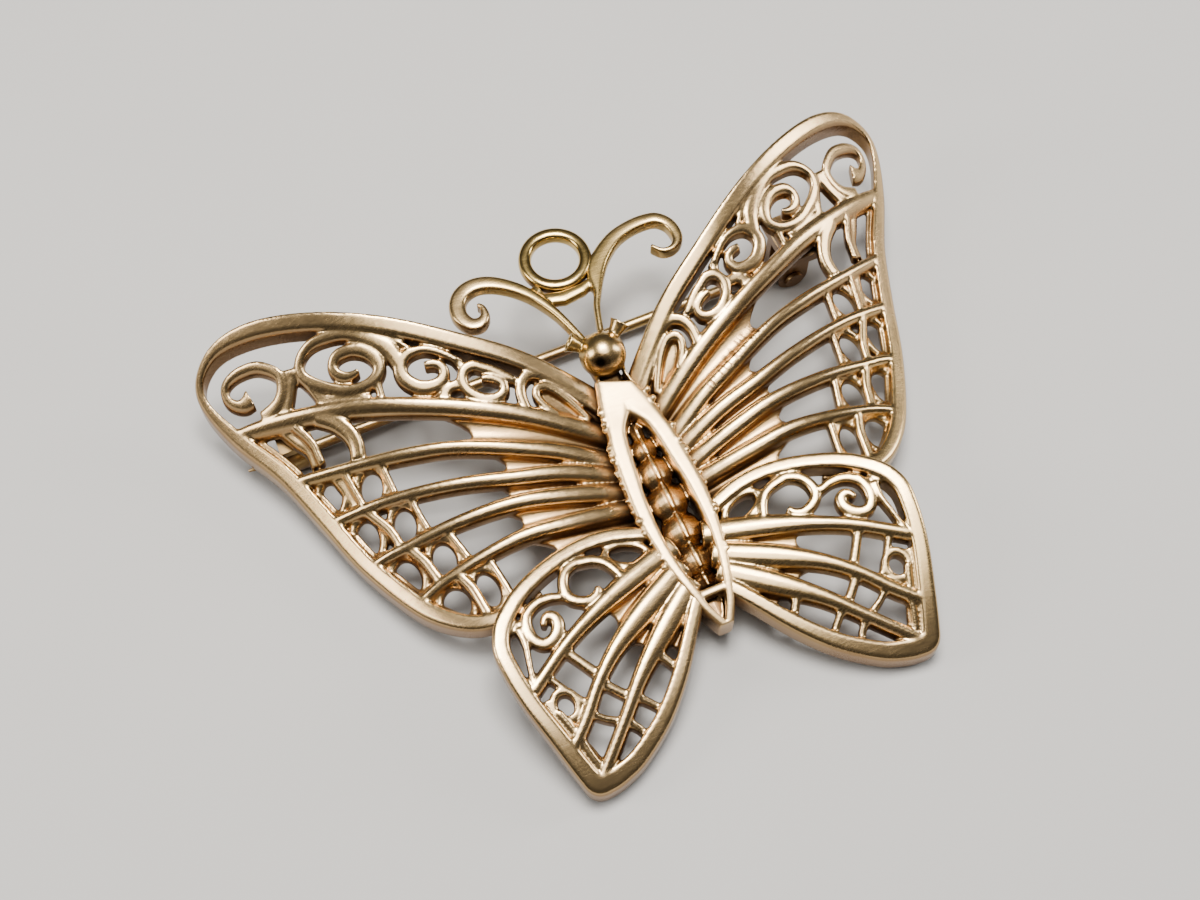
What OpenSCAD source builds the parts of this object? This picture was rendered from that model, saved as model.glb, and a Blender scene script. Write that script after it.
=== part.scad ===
// Insect brooch: a gold butterfly with pierced scroll wings, lying on its back.
// X runs across the wings, Y towards the head, Z out of the face.
// Origin: middle of the outline, at the height that the brooch rests on.
// Plan tables are shares: 100 is one half_span, counted from the middle of the body.

/* [Overall] */
// Middle of the body to the widest point of a forewing, mm.
half_span = 26; // [22:0.5:30]
// Height of the forewing's face where it leaves the body, mm.
root_h = 3.5; // [3.3:0.1:4.2]
// How high the forewing arches between body and tip, mm.
wing_arch = 2.3; // [1.9:0.1:2.6]

/* [Rims and veins] */
// Width of the flat rim strip, mm.
rim_w = 1.2; // [1:0.05:1.4]
// Depth of the rim strip, mm.
rim_deep = 1.8; // [1.5:0.05:2]
// Width of a vein at its outer half, mm.
vein_w = 0.85; // [0.7:0.05:1]
// Depth of a vein, mm.
vein_deep = 1.4; // [1.1:0.05:1.5]
// Width of the scroll strips, mm.
scroll_w = 0.65; // [0.55:0.05:0.8]
// Thickness of the scrolls and of the netted cells, mm.
net_t = 1; // [0.8:0.05:1.1]
// Thickness of the closed webs between the veins, mm.
web_t = 0.7; // [0.5:0.05:0.9]

/* [Body] */
// Half width of the body frame at its widest, mm.
body_w = 2.55; // [2.3:0.05:2.9]
// Width of the flat top of the body frame, mm.
body_rim = 1.05; // [0.8:0.05:1.2]
// Radius of the ball head, mm.
head_r = 1.55; // [1.3:0.05:1.7]

/* [Bail ring] */
// Inside radius of the ring between the antennae, mm.
bail_in_r = 1.65; // [1.4:0.05:1.8]
// Width of the ring's metal, mm.
bail_w = 0.9; // [0.7:0.05:1]
// Thickness of the ring, mm.
bail_t = 1; // [0.8:0.05:1.2]

/* [Pin and findings] */
// Diameter of the pin stem, mm.
pin_d = 0.8; // [0.7:0.05:0.9]
// Diameter of the hinge rivet, mm.
rivet_d = 0.8; // [0.7:0.05:0.9]
// Running clearance between rivet and eye, on the radius, mm.
run_gap = 0.05; // [0.03:0.01:0.08]

/* [Hidden] */
$fn = 32;
u = half_span / 100;
grow = half_span / 26;
gap = 0.06;
y_mid = -1.2 * grow;
gold = [0.80, 0.62, 0.40];
gold_dark = [0.70, 0.52, 0.33];

// Forewing strips. Columns: out, up, width as a share of rim_w or vein_w.
fore_rim = [[4, 16, 1], [19, 29, 1.05], [34.5, 39, 1], [52, 50, 0.95], [69, 59, 0.9],
  [82.5, 64.5, 0.85], [92, 66, 0.65], [98, 63, 0.55], [98.5, 57, 0.55], [94, 46, 0.8],
  [86.5, 32, 0.9], [81, 17, 0.95], [76, 2, 0.95], [69, -12.5, 1], [63.5, -20.5, 0.95],
  [56.5, -26, 0.9], [49, -27.5, 0.85], [42, -25.5, 0.8]];
fore_veins = [
  [[7, 7, 1.3], [22.5, 16, 1.15], [37, 23, 1], [50, 29, 1], [64, 35.5, 1], [83, 43, 1], [94, 47, 1]],
  [[6, -1, 1.3], [19, 5.5, 1.2], [29, 9.5, 1.1], [45, 16, 1], [56, 19.5, 1], [71, 24, 0.9],
    [86, 29, 0.9]],
  [[7, -4, 1.3], [21, 0.5, 1.2], [34, 3.5, 1.1], [46, 7, 1], [61, 11, 0.9], [70, 13, 0.9],
    [81, 15, 0.9]],
  [[7, -8.5, 1.3], [23.5, -5, 1.2], [36, -2.5, 1.1], [52, -1, 1], [64, -0.5, 0.9], [70, 0, 0.9],
    [76, 0, 0.9]],
  [[7, -13, 1.3], [25, -12, 1.2], [36.5, -11, 1.1], [48, -11.5, 1], [58.5, -12.5, 0.9],
    [64, -13.5, 0.9], [69, -15, 0.9]]];

// Scrolls. Columns: centre out, centre up, outer radius, inner radius, start, turn, width share,
// stretch.
fore_scrolls = [
  [87.5, 52.5, 7.4, 3.6, 235, 400, 0.95, 1.1],
  [63, 46, 8.4, 2, 165, 600, 1.1, 1.22],
  [44, 36, 6.1, 2.1, 170, 480, 1, 1.1],
  [30.5, 27.7, 4.4, 2, 165, 400, 0.9, 1.1]];
hind_scrolls = [
  [44, -36, 5.2, 1.8, 150, 450, 1.1, 1],
  [33, -29.5, 5, 3.2, 200, 290, 1, 1.1],
  [19, -26, 3, 2.2, 190, 350, 0.9, 1.2]];
// Lean of the scrolls along each wing, degrees.
fore_lean = 27;
hind_lean = -30;

// Short arms that tie the scrolls together.
// Columns: from out, up, bend out, up, to out, up, width share.
fore_ties = [[82, 54, 80, 47, 80.5, 41, 1.2], [54, 40, 52, 36, 48, 36, 1.3],
  [39, 32.5, 38, 30, 35, 28.5, 1.2], [70, 38.5, 73.5, 37, 78, 41, 1.1],
  [60, 37.5, 58, 35, 53, 30.5, 1.2], [26.5, 25, 24, 21, 22.5, 16.5, 1.2]];
hind_ties = [[47.5, -31.5, 51, -37, 51, -46, 1.1], [38.5, -33, 40, -36, 40.5, -41, 1],
  [36, -25.5, 40, -26, 45, -28, 1.1], [21.5, -24, 25, -26, 29, -29, 1.1],
  [17, -22, 16, -26, 17, -31, 1], [33.5, -33.5, 34.5, -36, 36.5, -39, 1]];

// Oval openings of the netted cells. Columns: out, up, half length, half width, lean.
fore_ovals = [[84, 36.5, 2.8, 4.6, 22], [74.5, 32, 3.1, 4.8, 24], [77.8, 21.2, 2.8, 4, 18],
  [68.5, 18, 3.1, 3.8, 15], [72.8, 7, 3, 4.7, 10], [63, 5.2, 3.1, 4.2, 8], [67, -7.2, 3.2, 4.8, 0],
  [57.5, -6.8, 3.2, 4, 0], [59.5, -19.2, 3.2, 4, -8], [50.5, -18.7, 3.2, 4.8, -5]];
// Where each cell's net begins, and where each web ends, as shares of the veins.
net_from = [0.73, 0.72, 0.70, 0.69, 0.66];
web_to = [0.50, 0.46, 0.44, 0.42, 0.40];
hind_web_to = [0.42, 0.42, 0.42];

// Hindwing strips.
hind_rim = [[7, -23, 0.9], [18.5, -19.5, 1], [30, -20, 1], [42.5, -24.5, 1.05], [50.5, -30.5, 1.1],
  [54, -36.5, 1.1], [54, -43, 1.1], [52.5, -51.5, 1.1], [49.5, -61.5, 1.15], [46.8, -70, 1.2],
  [44.8, -73.5, 1.3]];
hind_back = [[44.8, -73.5, 1.3], [40, -74, 1.15], [32.5, -71, 1.1], [23.5, -65, 1.05],
  [15.5, -57, 1], [8.5, -48, 0.9], [4, -42, 0.9]];
hind_veins = [
  [[6, -29.5, 1.6], [19, -32, 1.4], [31, -36.5, 1.1], [40.5, -41.5, 1], [53, -50, 1]],
  [[6, -32.5, 1.5], [17.5, -38, 1.4], [27, -45.5, 1.1], [34.5, -51.5, 1], [48, -62.5, 1]],
  [[5, -35, 1.5], [16, -45, 1.4], [24.5, -52.5, 1.1], [31.5, -59, 1], [43.5, -73, 1]]];
// Cross bars of the hindwing. Columns: from out, from up, bend out, bend up, to out, to up.
hind_bars = [[41, -42, 37.5, -45, 35.5, -52], [49, -48, 45.5, -51, 43.5, -58],
  [35, -52, 32, -55, 31.5, -59], [44, -59, 40, -62, 38.5, -67], [31, -58, 27, -62, 25, -66],
  [36.5, -65, 34, -68, 33, -71]];

// Body frame. Columns: along Y in mm, half width share, slot half width share, top height, wall depth.
body_rows = [[4.4, 0.42, 0, 6.3, 1.7], [2, 0.75, 0, 6, 1.9], [0.6, 0.88, 0.25, 5.8, 2.2],
  [-1.5, 0.98, 0.50, 5.5, 2.4], [-4, 1, 0.58, 5.2, 2.5], [-6.5, 0.97, 0.56, 5, 2.6],
  [-9, 0.82, 0.42, 4.6, 2.6], [-10.8, 0.58, 0.15, 4.2, 2.5], [-12.2, 0.32, 0, 3.8, 2.4],
  [-13.2, 0.08, 0, 3.4, 2.1]];
// Abdomen barrels. Columns: along Y, length, radius, height of the axis.
barrels = [[0.2, 1.5, 0.75, 4.55], [-1.7, 2.1, 1.0, 4.25], [-3.9, 2.3, 1.1, 4.0], [-6.2, 2.3, 1.1, 3.8],
  [-8.3, 2, 0.95, 3.5], [-9.9, 1.7, 0.65, 3.3]];
// Keel under the barrels, and neck under the head. Columns: along Y, height, width, depth.
keel = [[2.4, 4.4, 1.2, 0.7], [-12.2, 2.6, 0.7, 0.7]];
neck = [[4.2, 5.4, 2, 1.2], [5.8, 5.9, 1.5, 1]];
// Eye stubs. Columns: out, ahead of the ball's middle, above it, radius, facets.
eyes = [[1.1, 0.5, 0.2, 0.55, 7], [1.85, 0.9, 0.35, 0.42, 6]];
// Antenna centreline in plan. Columns: out mm, up mm, width mm.
feeler = [[0.5, 7.9, 0.55], [1.4, 10.3, 0.6], [2.6, 12.5, 0.75], [3.9, 14.2, 0.95], [5.5, 15.1, 1],
  [7.1, 14.9, 1], [8, 13.8, 0.95], [7.8, 12.6, 0.8], [7, 12.1, 0.7], [6.4, 12.5, 0.6],
  [6.2, 13.2, 0.5]];

// Solder plate that joins the ring to the antennae: its corners, out and up.
yoke = [[-1.9, 11.5], [-2.7, 12.9], [2.7, 12.9], [1.9, 11.5]];
yoke_t = 0.81;

feeler_h = 6.3;
feeler_t = 0.9;
feeler_end_r = 0.45;
head_y = 6.9 * grow;
head_h = 6.7;
bail_y = 14.6 * grow;
bail_h = 6.2;
// Bevels of the ring: depth and width at the hole, and at the outside.
bail_bevel_in = [0.1, 0.12];
bail_bevel_out = 0.2;
hinge_x = 16.5 * grow;
pin_y = 10.8 * grow;
pin_h = 1.15;
catch_x = -21 * grow;
pin_tip_x = -24.6 * grow;
ear_gap = pin_d + 0.3;
ear_t = 0.6;
ear_r = 1.15;
eye_r = 1;
// Undersides of the solder pads, which the hinge plate and the catch plate meet.
hinge_top = 5.5;
catch_top = 3.5;
plate_t = 0.8;
plate_w = 3;
plate_from = 8.5 * grow;
plate_past = 1.6;
catch_plate = [2.4, 2, 0.6];
catch_post = [1.4, 1];
hinge_pad = [2.6, 1.3, 1.2];
hinge_pad_y = 8.6 * grow;
catch_pad = [2.2, 1.4, 0.9];
catch_pad_y = 10.3 * grow;
// The rivet: its heads' rise and thickness, its length past both ears, its fit in them.
rivet_head = 0.28;
rivet_past = 0.5;
rivet_fit = 0.02;
hook_r = 0.6;
hook_wall = 0.65;
hook_w = 1.6;
// The hook's mouth: its cutter's size, and how far the cutter's top stands above the pin's axis.
mouth = [4, 4, 3.35];
mouth_top = 0.2;
// Along the stem from the hinge: end of the neck, start of the taper, start of the point, tip.
neck_l = 2.5;
stem_l = hinge_x - catch_x - 1.5;
tip_l = hinge_x - pin_tip_x;
point_l = 1.8;
pin_r = pin_d / 2;
neck_r = [pin_r + 0.1, pin_r + 0.04];
taper_r = pin_r - 0.06;
point_r = 0.08;

// Height of the forewing's face.
function fore_x(x) = 4 * wing_arch * (x / half_span / 0.71) * (1 - x / half_span / 0.71);
function fore_y(y) = 6 * y / half_span + 7 * pow(y / half_span, 2);
// Height of the hindwing's face, which falls to the tail.
hind_h = rim_deep + 2.7;
function hind_x(x) = 2.6 * x / half_span;
function hind_y(y) = y > -6 * grow ? 0 : -12.8 * pow(y / half_span + 0.23, 2);

// Smooth curve through the rows of a table.
function blend(a, b, c, d, t) = 0.5 * ((2 * b) + (c - a) * t + (2 * a - 5 * b + 4 * c - d) * t * t
  + (3 * b - a - 3 * c + d) * t * t * t);
function smooth(p, n) = concat(
  [for (i = [0:len(p) - 2]) for (k = [0:n - 1])
    blend(p[max(i - 1, 0)], p[i], p[i + 1], p[min(i + 2, len(p) - 1)], k / n)],
  [p[len(p) - 1]]);
function across(p, i) = let (a = p[max(i - 1, 0)], b = p[min(i + 1, len(p) - 1)],
  d = norm([b[0] - a[0], b[1] - a[1]])) [a[1] - b[1], b[0] - a[0]] / d;
function edge(p, s) = [for (i = [0:len(p) - 1]) [p[i][0], p[i][1]] + s * across(p, i) * p[i][2] / 2];
function flip(p) = [for (i = [len(p) - 1:-1:0]) p[i]];
function scaled(p, w) = [for (r = p) [r[0] * u, r[1] * u, r[2] * w]];
// Point at share t of a path, and the part of it from share a to share b.
function at(p, t) = let (n = len(p) - 1, i = min(floor(t * n), n - 1),
  q = p[i] + (p[i + 1] - p[i]) * (t * n - i)) [q[0], q[1]];
function part(p, a, b) = let (n = len(p) - 1) concat([at(p, a)],
  [for (i = [0:n]) if (i > a * n + 0.1 && i < b * n - 0.1) [p[i][0], p[i][1]]], [at(p, b)]);
// A spiral whose radius falls slowly at first and quickly at its end.
function curl(r, lean) = let (n = ceil(r[5] / 28)) [for (i = [0:n]) let (s = i / n,
  q = r[2] + (r[3] - r[2]) * pow(s, 1.25), a = r[4] - r[5] * s, f = q * r[7] * cos(a), g = q * sin(a))
  [r[0] + f * cos(lean) - g * sin(lean), r[1] + f * sin(lean) + g * cos(lean), r[6] * (1 - 0.3 * s)]];

// Points rounded to a thousandth of a millimetre.
function snap(p) = [for (q = p) [for (c = q) round(c * 1000) / 1000]];

module strip(p) polygon(snap(concat(edge(p, 1), flip(edge(p, -1)))));

// A thin shell under a wing face: top surface lowered by sink, thickness t.
module shell(side, sink, t, x0, x1, nx, y0, y1, ny) {
  function zx(x) = side == "fore" ? fore_x(x) : hind_x(x);
  function zy(y) = side == "fore" ? fore_y(y) : hind_y(y);
  base = side == "fore" ? root_h : hind_h;
  top = [for (j = [0:ny]) for (i = [0:nx])
    let (x = x0 + (x1 - x0) * i / nx, y = y0 + (y1 - y0) * j / ny)
    [x, y, base + zx(x) + zy(y) - sink]];
  m = (nx + 1) * (ny + 1);
  low = [for (p = top) [p[0], p[1], p[2] - t]];
  quads = [for (j = [0:ny - 1]) for (i = [0:nx - 1]) let (a = j * (nx + 1) + i, b = a + nx + 1) each [
    [a, b, b + 1, a + 1], [a + m, a + 1 + m, b + 1 + m, b + m]]];
  ends = concat(
    [for (i = [0:nx - 1]) [i, i + 1, i + 1 + m, i + m]],
    [for (i = [0:nx - 1]) let (a = ny * (nx + 1) + i) [a + 1, a, a + m, a + 1 + m]],
    [for (j = [0:ny - 1]) let (a = j * (nx + 1)) [a + nx + 1, a, a + m, a + nx + 1 + m]],
    [for (j = [0:ny - 1]) let (a = j * (nx + 1) + nx) [a, a + nx + 1, a + nx + 1 + m, a + m]]);
  polyhedron(snap(concat(top, low)), concat(quads, ends), convexity = 6);
}

// Cuts a flat pattern to the curved shell of a wing.
module fore_layer(sink, t) intersection() {
  translate([0, 0, -1]) linear_extrude(14, convexity = 10) children();
  shell("fore", sink, t, 0, 28 * grow, 6, -8.5 * grow, 18.5 * grow, 4);
}
module hind_layer(sink, t) intersection() {
  translate([0, 0, -1]) linear_extrude(12, convexity = 10) children();
  shell("hind", sink, t, 0, 15.5 * grow, 1, -21 * grow, -3.6 * grow, 5);
}

// A short curved strip through three points, narrower in its middle by the share waist.
module arm(t, waist) {
  rows = [[t[0], t[1], t[6]], [t[2], t[3], t[6] * waist], [t[4], t[5], t[6]]];
  strip(smooth(scaled(rows, scroll_w), 2));
}

module fore_lines() {
  for (v = fore_veins) strip(smooth(scaled(v, vein_w), 1));
}
module fore_frame() strip(smooth(scaled(fore_rim, rim_w), 2));
// Trailing line of the forewing, which closes its last cell.
fore_trail = [[7, -19, 1], [20, -19, 1], [34, -22, 1], [47, -27.5, 1], [57, -26.5, 1], [64, -21, 1]];
module fore_net() {
  v = [for (w = concat(fore_veins, [fore_trail])) scaled(w, 1)];
  inner = [for (i = [0:4]) let (a = at(v[i], net_from[i]), b = at(v[i + 1], net_from[i]))
    each [a, (a + b) / 2 + [1.2 * u, 0], b]];
  outer = [for (i = [4:-1:0]) at(v[i], 1)];
  difference() {
    polygon(snap(concat(inner, part(v[5], net_from[4] + 0.1, 1), outer)));
    for (o = fore_ovals) translate([o[0] * u, o[1] * u]) rotate(o[4])
      scale([o[2] * u, o[3] * u]) circle(1, $fn = 12);
  }
}
// Closed webs: one sheet with a notch in each cell.
module webs(v, to, tip) polygon(snap(concat(part(v[0], 0, to[0]),
  [for (i = [0:len(to) - 1]) let (a = at(v[i], to[i]), b = at(v[i + 1], to[i]))
    each [a, (a + b) / 2 - tip, b]],
  flip(part(v[len(to)], 0, to[len(to) - 1])))));
module fore_webs() {
  v = [for (w = concat(fore_veins, [fore_trail])) scaled(w, 1)];
  webs(v, web_to, [2.5 * u, 0]);
  polygon(snap(concat(part(scaled(fore_rim, 1), 0.01, 0.075), flip(part(v[0], 0, 0.25)),
    [[0.5, 3] * grow])));
}
module fore_curls() {
  for (r = fore_scrolls) strip(scaled(curl(r, fore_lean), scroll_w));
  for (t = fore_ties) arm(t, 0.8);
}

module forewing() {
  fore_layer(0, rim_deep) fore_frame();
  fore_layer(0.05, vein_deep) fore_lines();
  fore_layer(0.2, net_t) fore_curls();
  fore_layer(0.35, net_t) fore_net();
  fore_layer(0.75, web_t) fore_webs();
}

module hindwing() {
  v = [for (w = hind_veins) smooth(scaled(w, 1), 2)];
  back = flip(smooth(scaled(hind_back, 1), 2));
  hind_layer(0, rim_deep) {
    strip(smooth(scaled(hind_rim, rim_w), 2));
    strip(smooth(scaled(hind_back, rim_w), 2));
    translate([hind_back[0][0] * u, hind_back[0][1] * u]) circle(rim_w * 0.64, $fn = 12);
  }
  hind_layer(0.05, vein_deep) for (w = hind_veins) strip(smooth(scaled(w, vein_w), 2));
  hind_layer(0.25, net_t) {
    for (r = hind_scrolls) strip(scaled(curl(r, hind_lean), scroll_w));
    for (t = hind_ties) arm(t, 0.8);
    for (b = hind_bars) arm(concat(b, 1), 0.85);
  }
  hind_layer(0.75, web_t) webs(concat(v, [back]), hind_web_to, [1.5, -1.5] * u);
}

// Joins sections of equal point count into one closed solid.
module loft(s) {
  k = len(s[0]);
  n = len(s);
  walls = [for (j = [0:n - 2]) for (i = [0:k - 1]) let (a = j * k + i, b = j * k + (i + 1) % k)
    each [[a, b + k, b], [a, a + k, b + k]]];
  first = [[for (i = [0:k - 1]) i]];
  last = [[for (i = [k - 1:-1:0]) (n - 1) * k + i]];
  polyhedron(snap([for (r = s) each r]), concat(first, walls, last), convexity = 4);
}

module body_frame() {
  difference() {
    loft([for (r = body_rows) let (y = r[0] * grow, w = r[1] * body_w, z = r[3]) [
      [-w, y, z], [-w * 0.8, y, z - r[4]], [w * 0.8, y, z - r[4]], [w, y, z]]]);
    loft([for (r = body_rows) if (r[0] < 2.1 && r[0] > -12) let (y = r[0] * grow, z = r[3],
      w = max(0.06, r[1] * body_w - body_rim * (r[2] == 0 ? 3 : 1))) [
      [-w, y, z + 1], [-w, y, z - r[4] - 1], [w, y, z - r[4] - 1], [w, y, z + 1]]]);
  }
}

// A beam along the middle line, between the rows of a table.
module beam(rows, length) hull() for (r = rows)
  translate([0, r[0] * grow, r[1]]) cube([r[2], length, r[3]], center = true);

module abdomen() {
  for (b = barrels) translate([0, b[0] * grow, b[3]]) rotate([90, 0, 0])
    for (m = [0, 1]) mirror([0, 0, m])
      cylinder(b[1] * grow / 2 + 0.02, b[2], b[2] * 0.72, $fn = 10);
  beam(keel, 0.4);
}

module head() {
  translate([0, head_y, head_h]) sphere(head_r, $fn = 20);
  beam(neck, 0.6);
  for (s = [-1, 1]) hull() for (e = eyes)
    translate([s * e[0], head_y + e[1], head_h + e[2]]) sphere(e[3], $fn = e[4]);
}

module feelers() {
  rows = [for (r = feeler) [r[0] * grow, r[1] * grow, r[2]]];
  for (m = [0, 1]) mirror([m, 0, 0]) {
    translate([0, 0, feeler_h]) linear_extrude(feeler_t) strip(smooth(rows, 2));
    hull() for (k = [0, 1]) translate([rows[9 + k][0], rows[9 + k][1], feeler_h + feeler_t / 2])
      sphere(feeler_end_r - 0.1 * k, $fn = 6);
  }
  translate([0, 0, feeler_h]) linear_extrude(yoke_t) difference() {
    polygon(yoke * grow);
    translate([0, bail_y]) circle(bail_in_r + bail_w + gap, $fn = 30);
  }
}

// Solder under a vein, where a finding is fixed.
module pads() {
  translate([hinge_x - hinge_pad[0] / 2, hinge_pad_y, hinge_top + gap]) cube(hinge_pad);
  translate([catch_x - catch_pad[0] / 2, catch_pad_y, catch_top + gap]) cube(catch_pad);
}

module butterfly() color(gold) place() union() {
  for (m = [0, 1]) mirror([m, 0, 0]) {
    forewing();
    hindwing();
  }
  body_frame();
  abdomen();
  head();
  feelers();
  pads();
}

module place() translate([0, -y_mid, 0]) children();

module bail_ring() color(gold) place() translate([0, bail_y, bail_h]) rotate_extrude($fn = 64) {
  inner = bail_in_r + bail_bevel_in[1];
  outer = bail_in_r + bail_w;
  polygon([[bail_in_r, bail_bevel_in[0]], [inner, 0], [outer - bail_bevel_out, 0],
    [outer, bail_bevel_out], [outer, bail_t - bail_bevel_out], [outer - bail_bevel_out, bail_t],
    [inner, bail_t], [bail_in_r, bail_t - bail_bevel_in[0]]]);
}

// Lays a cylinder along Y, centred.
module along_y(r, h) rotate([90, 0, 0]) cylinder(h, r, r, center = true);

module hinge_block() color(gold_dark) place() translate([hinge_x, pin_y, 0]) difference() {
  union() {
    translate([-plate_w / 2, plate_from - pin_y, hinge_top - plate_t])
      cube([plate_w, pin_y - plate_from + plate_past, plate_t]);
    for (s = [-1, 1]) translate([0, s * (ear_gap + ear_t) / 2, pin_h]) {
      translate([-ear_r, -ear_t / 2, 0]) cube([2 * ear_r, ear_t, hinge_top - plate_t / 2 - pin_h]);
      along_y(ear_r, ear_t);
    }
  }
  translate([0, 0, pin_h]) along_y(rivet_d / 2 + rivet_fit, 4);
}

module hinge_rivet() color(gold) place() translate([hinge_x, pin_y, pin_h]) {
  along_y(rivet_d / 2, ear_gap + 2 * ear_t + rivet_past);
  for (s = [-1, 1]) translate([0, s * (ear_gap / 2 + ear_t + gap / 2 + rivet_head / 2), 0])
    along_y(rivet_d / 2 + rivet_head, rivet_head);
}

module pin_stem() color(gold_dark) place() translate([hinge_x, pin_y, pin_h]) {
  difference() {
    union() {
      along_y(eye_r, pin_d);
      along_stem(0.7 * eye_r, neck_l, neck_r[0], neck_r[1]);
      along_stem(neck_l - 0.1, stem_l, pin_r, pin_r);
    }
    along_y(rivet_d / 2 + run_gap, pin_d + 1);
  }
  along_stem(stem_l, tip_l - point_l, pin_r, taper_r);
  along_stem(tip_l - point_l, tip_l, taper_r, point_r);
}
// Lays a rod along the stem, from a to b beyond the hinge, its radius going from r to q.
module along_stem(a, b, r, q) translate([-a, 0, 0]) rotate([0, -90, 0]) cylinder(b - a, r, q);

module catch() color(gold_dark) place() translate([catch_x, pin_y, 0]) {
  post_from = pin_h + hook_r + 0.25;
  translate([-catch_plate[0] / 2, -catch_plate[1] / 2, catch_top - catch_plate[2]]) cube(catch_plate);
  translate([-catch_post[0] / 2, -catch_post[1] / 2, post_from])
    cube([catch_post[0], catch_post[1], catch_top - catch_plate[2] / 2 - post_from]);
  difference() {
    translate([0, 0, pin_h]) rotate([0, 90, 0])
      cylinder(hook_w, hook_r + hook_wall, hook_r + hook_wall, center = true);
    translate([0, 0, pin_h]) rotate([0, 90, 0]) cylinder(4, hook_r, hook_r, center = true);
    translate([-mouth[0] / 2, -catch_post[1] / 2, pin_h + mouth_top - mouth[2]]) cube(mouth);
  }
}

butterfly();
bail_ring();
hinge_block();
hinge_rivet();
pin_stem();
catch();
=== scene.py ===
# %% [markdown]
# # A pierced gold butterfly brooch
# The brooch is a casting: two pairs of wings made of flat rims, ridged veins and rolled scrolls,
# soldered to a boat-shaped body frame. A ring, a hinged pin and a hook catch are fixed to it.
# This lesson sweeps every strip of metal along its own line with Geometry Nodes, melts the strips
# of one wing together, and then dresses them in satin gold.

# %% Load the fixed frame
import math
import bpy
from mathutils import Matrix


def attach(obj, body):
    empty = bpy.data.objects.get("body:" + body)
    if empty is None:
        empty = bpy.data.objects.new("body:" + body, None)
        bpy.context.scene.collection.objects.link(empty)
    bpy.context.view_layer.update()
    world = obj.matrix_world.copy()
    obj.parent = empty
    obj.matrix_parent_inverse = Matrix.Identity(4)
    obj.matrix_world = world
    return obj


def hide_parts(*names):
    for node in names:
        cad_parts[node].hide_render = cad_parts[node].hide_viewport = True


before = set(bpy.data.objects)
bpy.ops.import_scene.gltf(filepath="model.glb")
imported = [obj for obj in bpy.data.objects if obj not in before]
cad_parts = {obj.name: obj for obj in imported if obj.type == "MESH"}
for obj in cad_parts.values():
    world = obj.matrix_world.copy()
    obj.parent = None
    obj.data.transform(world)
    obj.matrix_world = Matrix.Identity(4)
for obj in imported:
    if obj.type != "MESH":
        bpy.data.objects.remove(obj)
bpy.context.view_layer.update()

from types import SimpleNamespace

import bmesh
import bpy
from mathutils import Matrix, Vector

# %% [markdown]
# ## Where the camera stands
# The photo looks down on the brooch steeply, from the tail side, and the brooch is turned a little.
# One could drag a camera about by eye. Here the view is kept as plain facts instead, an elevation, a
# turn and where the brooch lies before the lens, and the camera's axes are worked out from them, so
# the view can be read and repeated. A lens of 51 mm gives the perspective of the photo.

# %% Camera
MM = 0.001
ELEVATION = math.radians(63.28)
TURN = math.radians(23.951)
VIEW_SHIFT = Vector((2.819, 0.832, 115.344))
FIT_ORIGIN = Vector((0, 1.2, 2.3))
IMAGE_WIDTH, FOCAL_PX, SENSOR = 1200, 1700, 36
NEAREST = MM


def add_camera():
    tilt = Matrix(((1, 0, 0), (0, -math.sin(ELEVATION), -math.cos(ELEVATION)),
                   (0, math.cos(ELEVATION), -math.sin(ELEVATION))))
    look = tilt @ Matrix.Rotation(TURN, 3, "Z")
    place = (-(look.transposed() @ VIEW_SHIFT) + FIT_ORIGIN) * MM
    axes = Matrix((look[0], -look[1], -look[2])).transposed()
    data = bpy.data.cameras.new("camera")
    data.sensor_width = SENSOR
    data.lens = FOCAL_PX * SENSOR / IMAGE_WIDTH
    data.clip_start = NEAREST
    camera = bpy.data.objects.new("camera", data)
    camera.matrix_world = Matrix.Translation(place) @ axes.to_4x4()
    bpy.context.scene.collection.objects.link(camera)
    bpy.context.scene.camera = camera
    return camera


camera = add_camera()
print("Camera at, mm:", [round(c * 1000, 1) for c in camera.location])
print("Lens, mm:", round(camera.data.lens, 1))

# %% [markdown]
# ## Shader maths as plain expressions
# A metal finish is mostly sums of masks. A small class lets a mask be written as `1 - dust * 0.5`:
# each operator adds one Math node and returns its socket, so the material reads like a formula.


# %% Sockets that can be added and multiplied
class Value:
    def __init__(self, paint, socket):
        self.paint = paint
        self.socket = socket

    def _math(self, kind, a, b):
        return self.paint.node("ShaderNodeMath", {"operation": kind}, {0: a, 1: b})

    def __add__(self, other):
        return self._math("ADD", self, other)

    def __sub__(self, other):
        return self._math("SUBTRACT", self, other)

    def __rsub__(self, other):
        return self._math("SUBTRACT", other, self)

    def __mul__(self, other):
        return self._math("MULTIPLY", self, other)

    def __truediv__(self, other):
        return self._math("DIVIDE", self, other)

    __radd__ = __add__

    def clamp(self):
        return self.paint.node("ShaderNodeClamp", {}, {"Value": self})

    def between(self, low, high):
        return self.paint.node("ShaderNodeMapRange", {"interpolation_type": "SMOOTHSTEP"},
                               {"Value": self, "From Min": low, "From Max": high})


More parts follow.
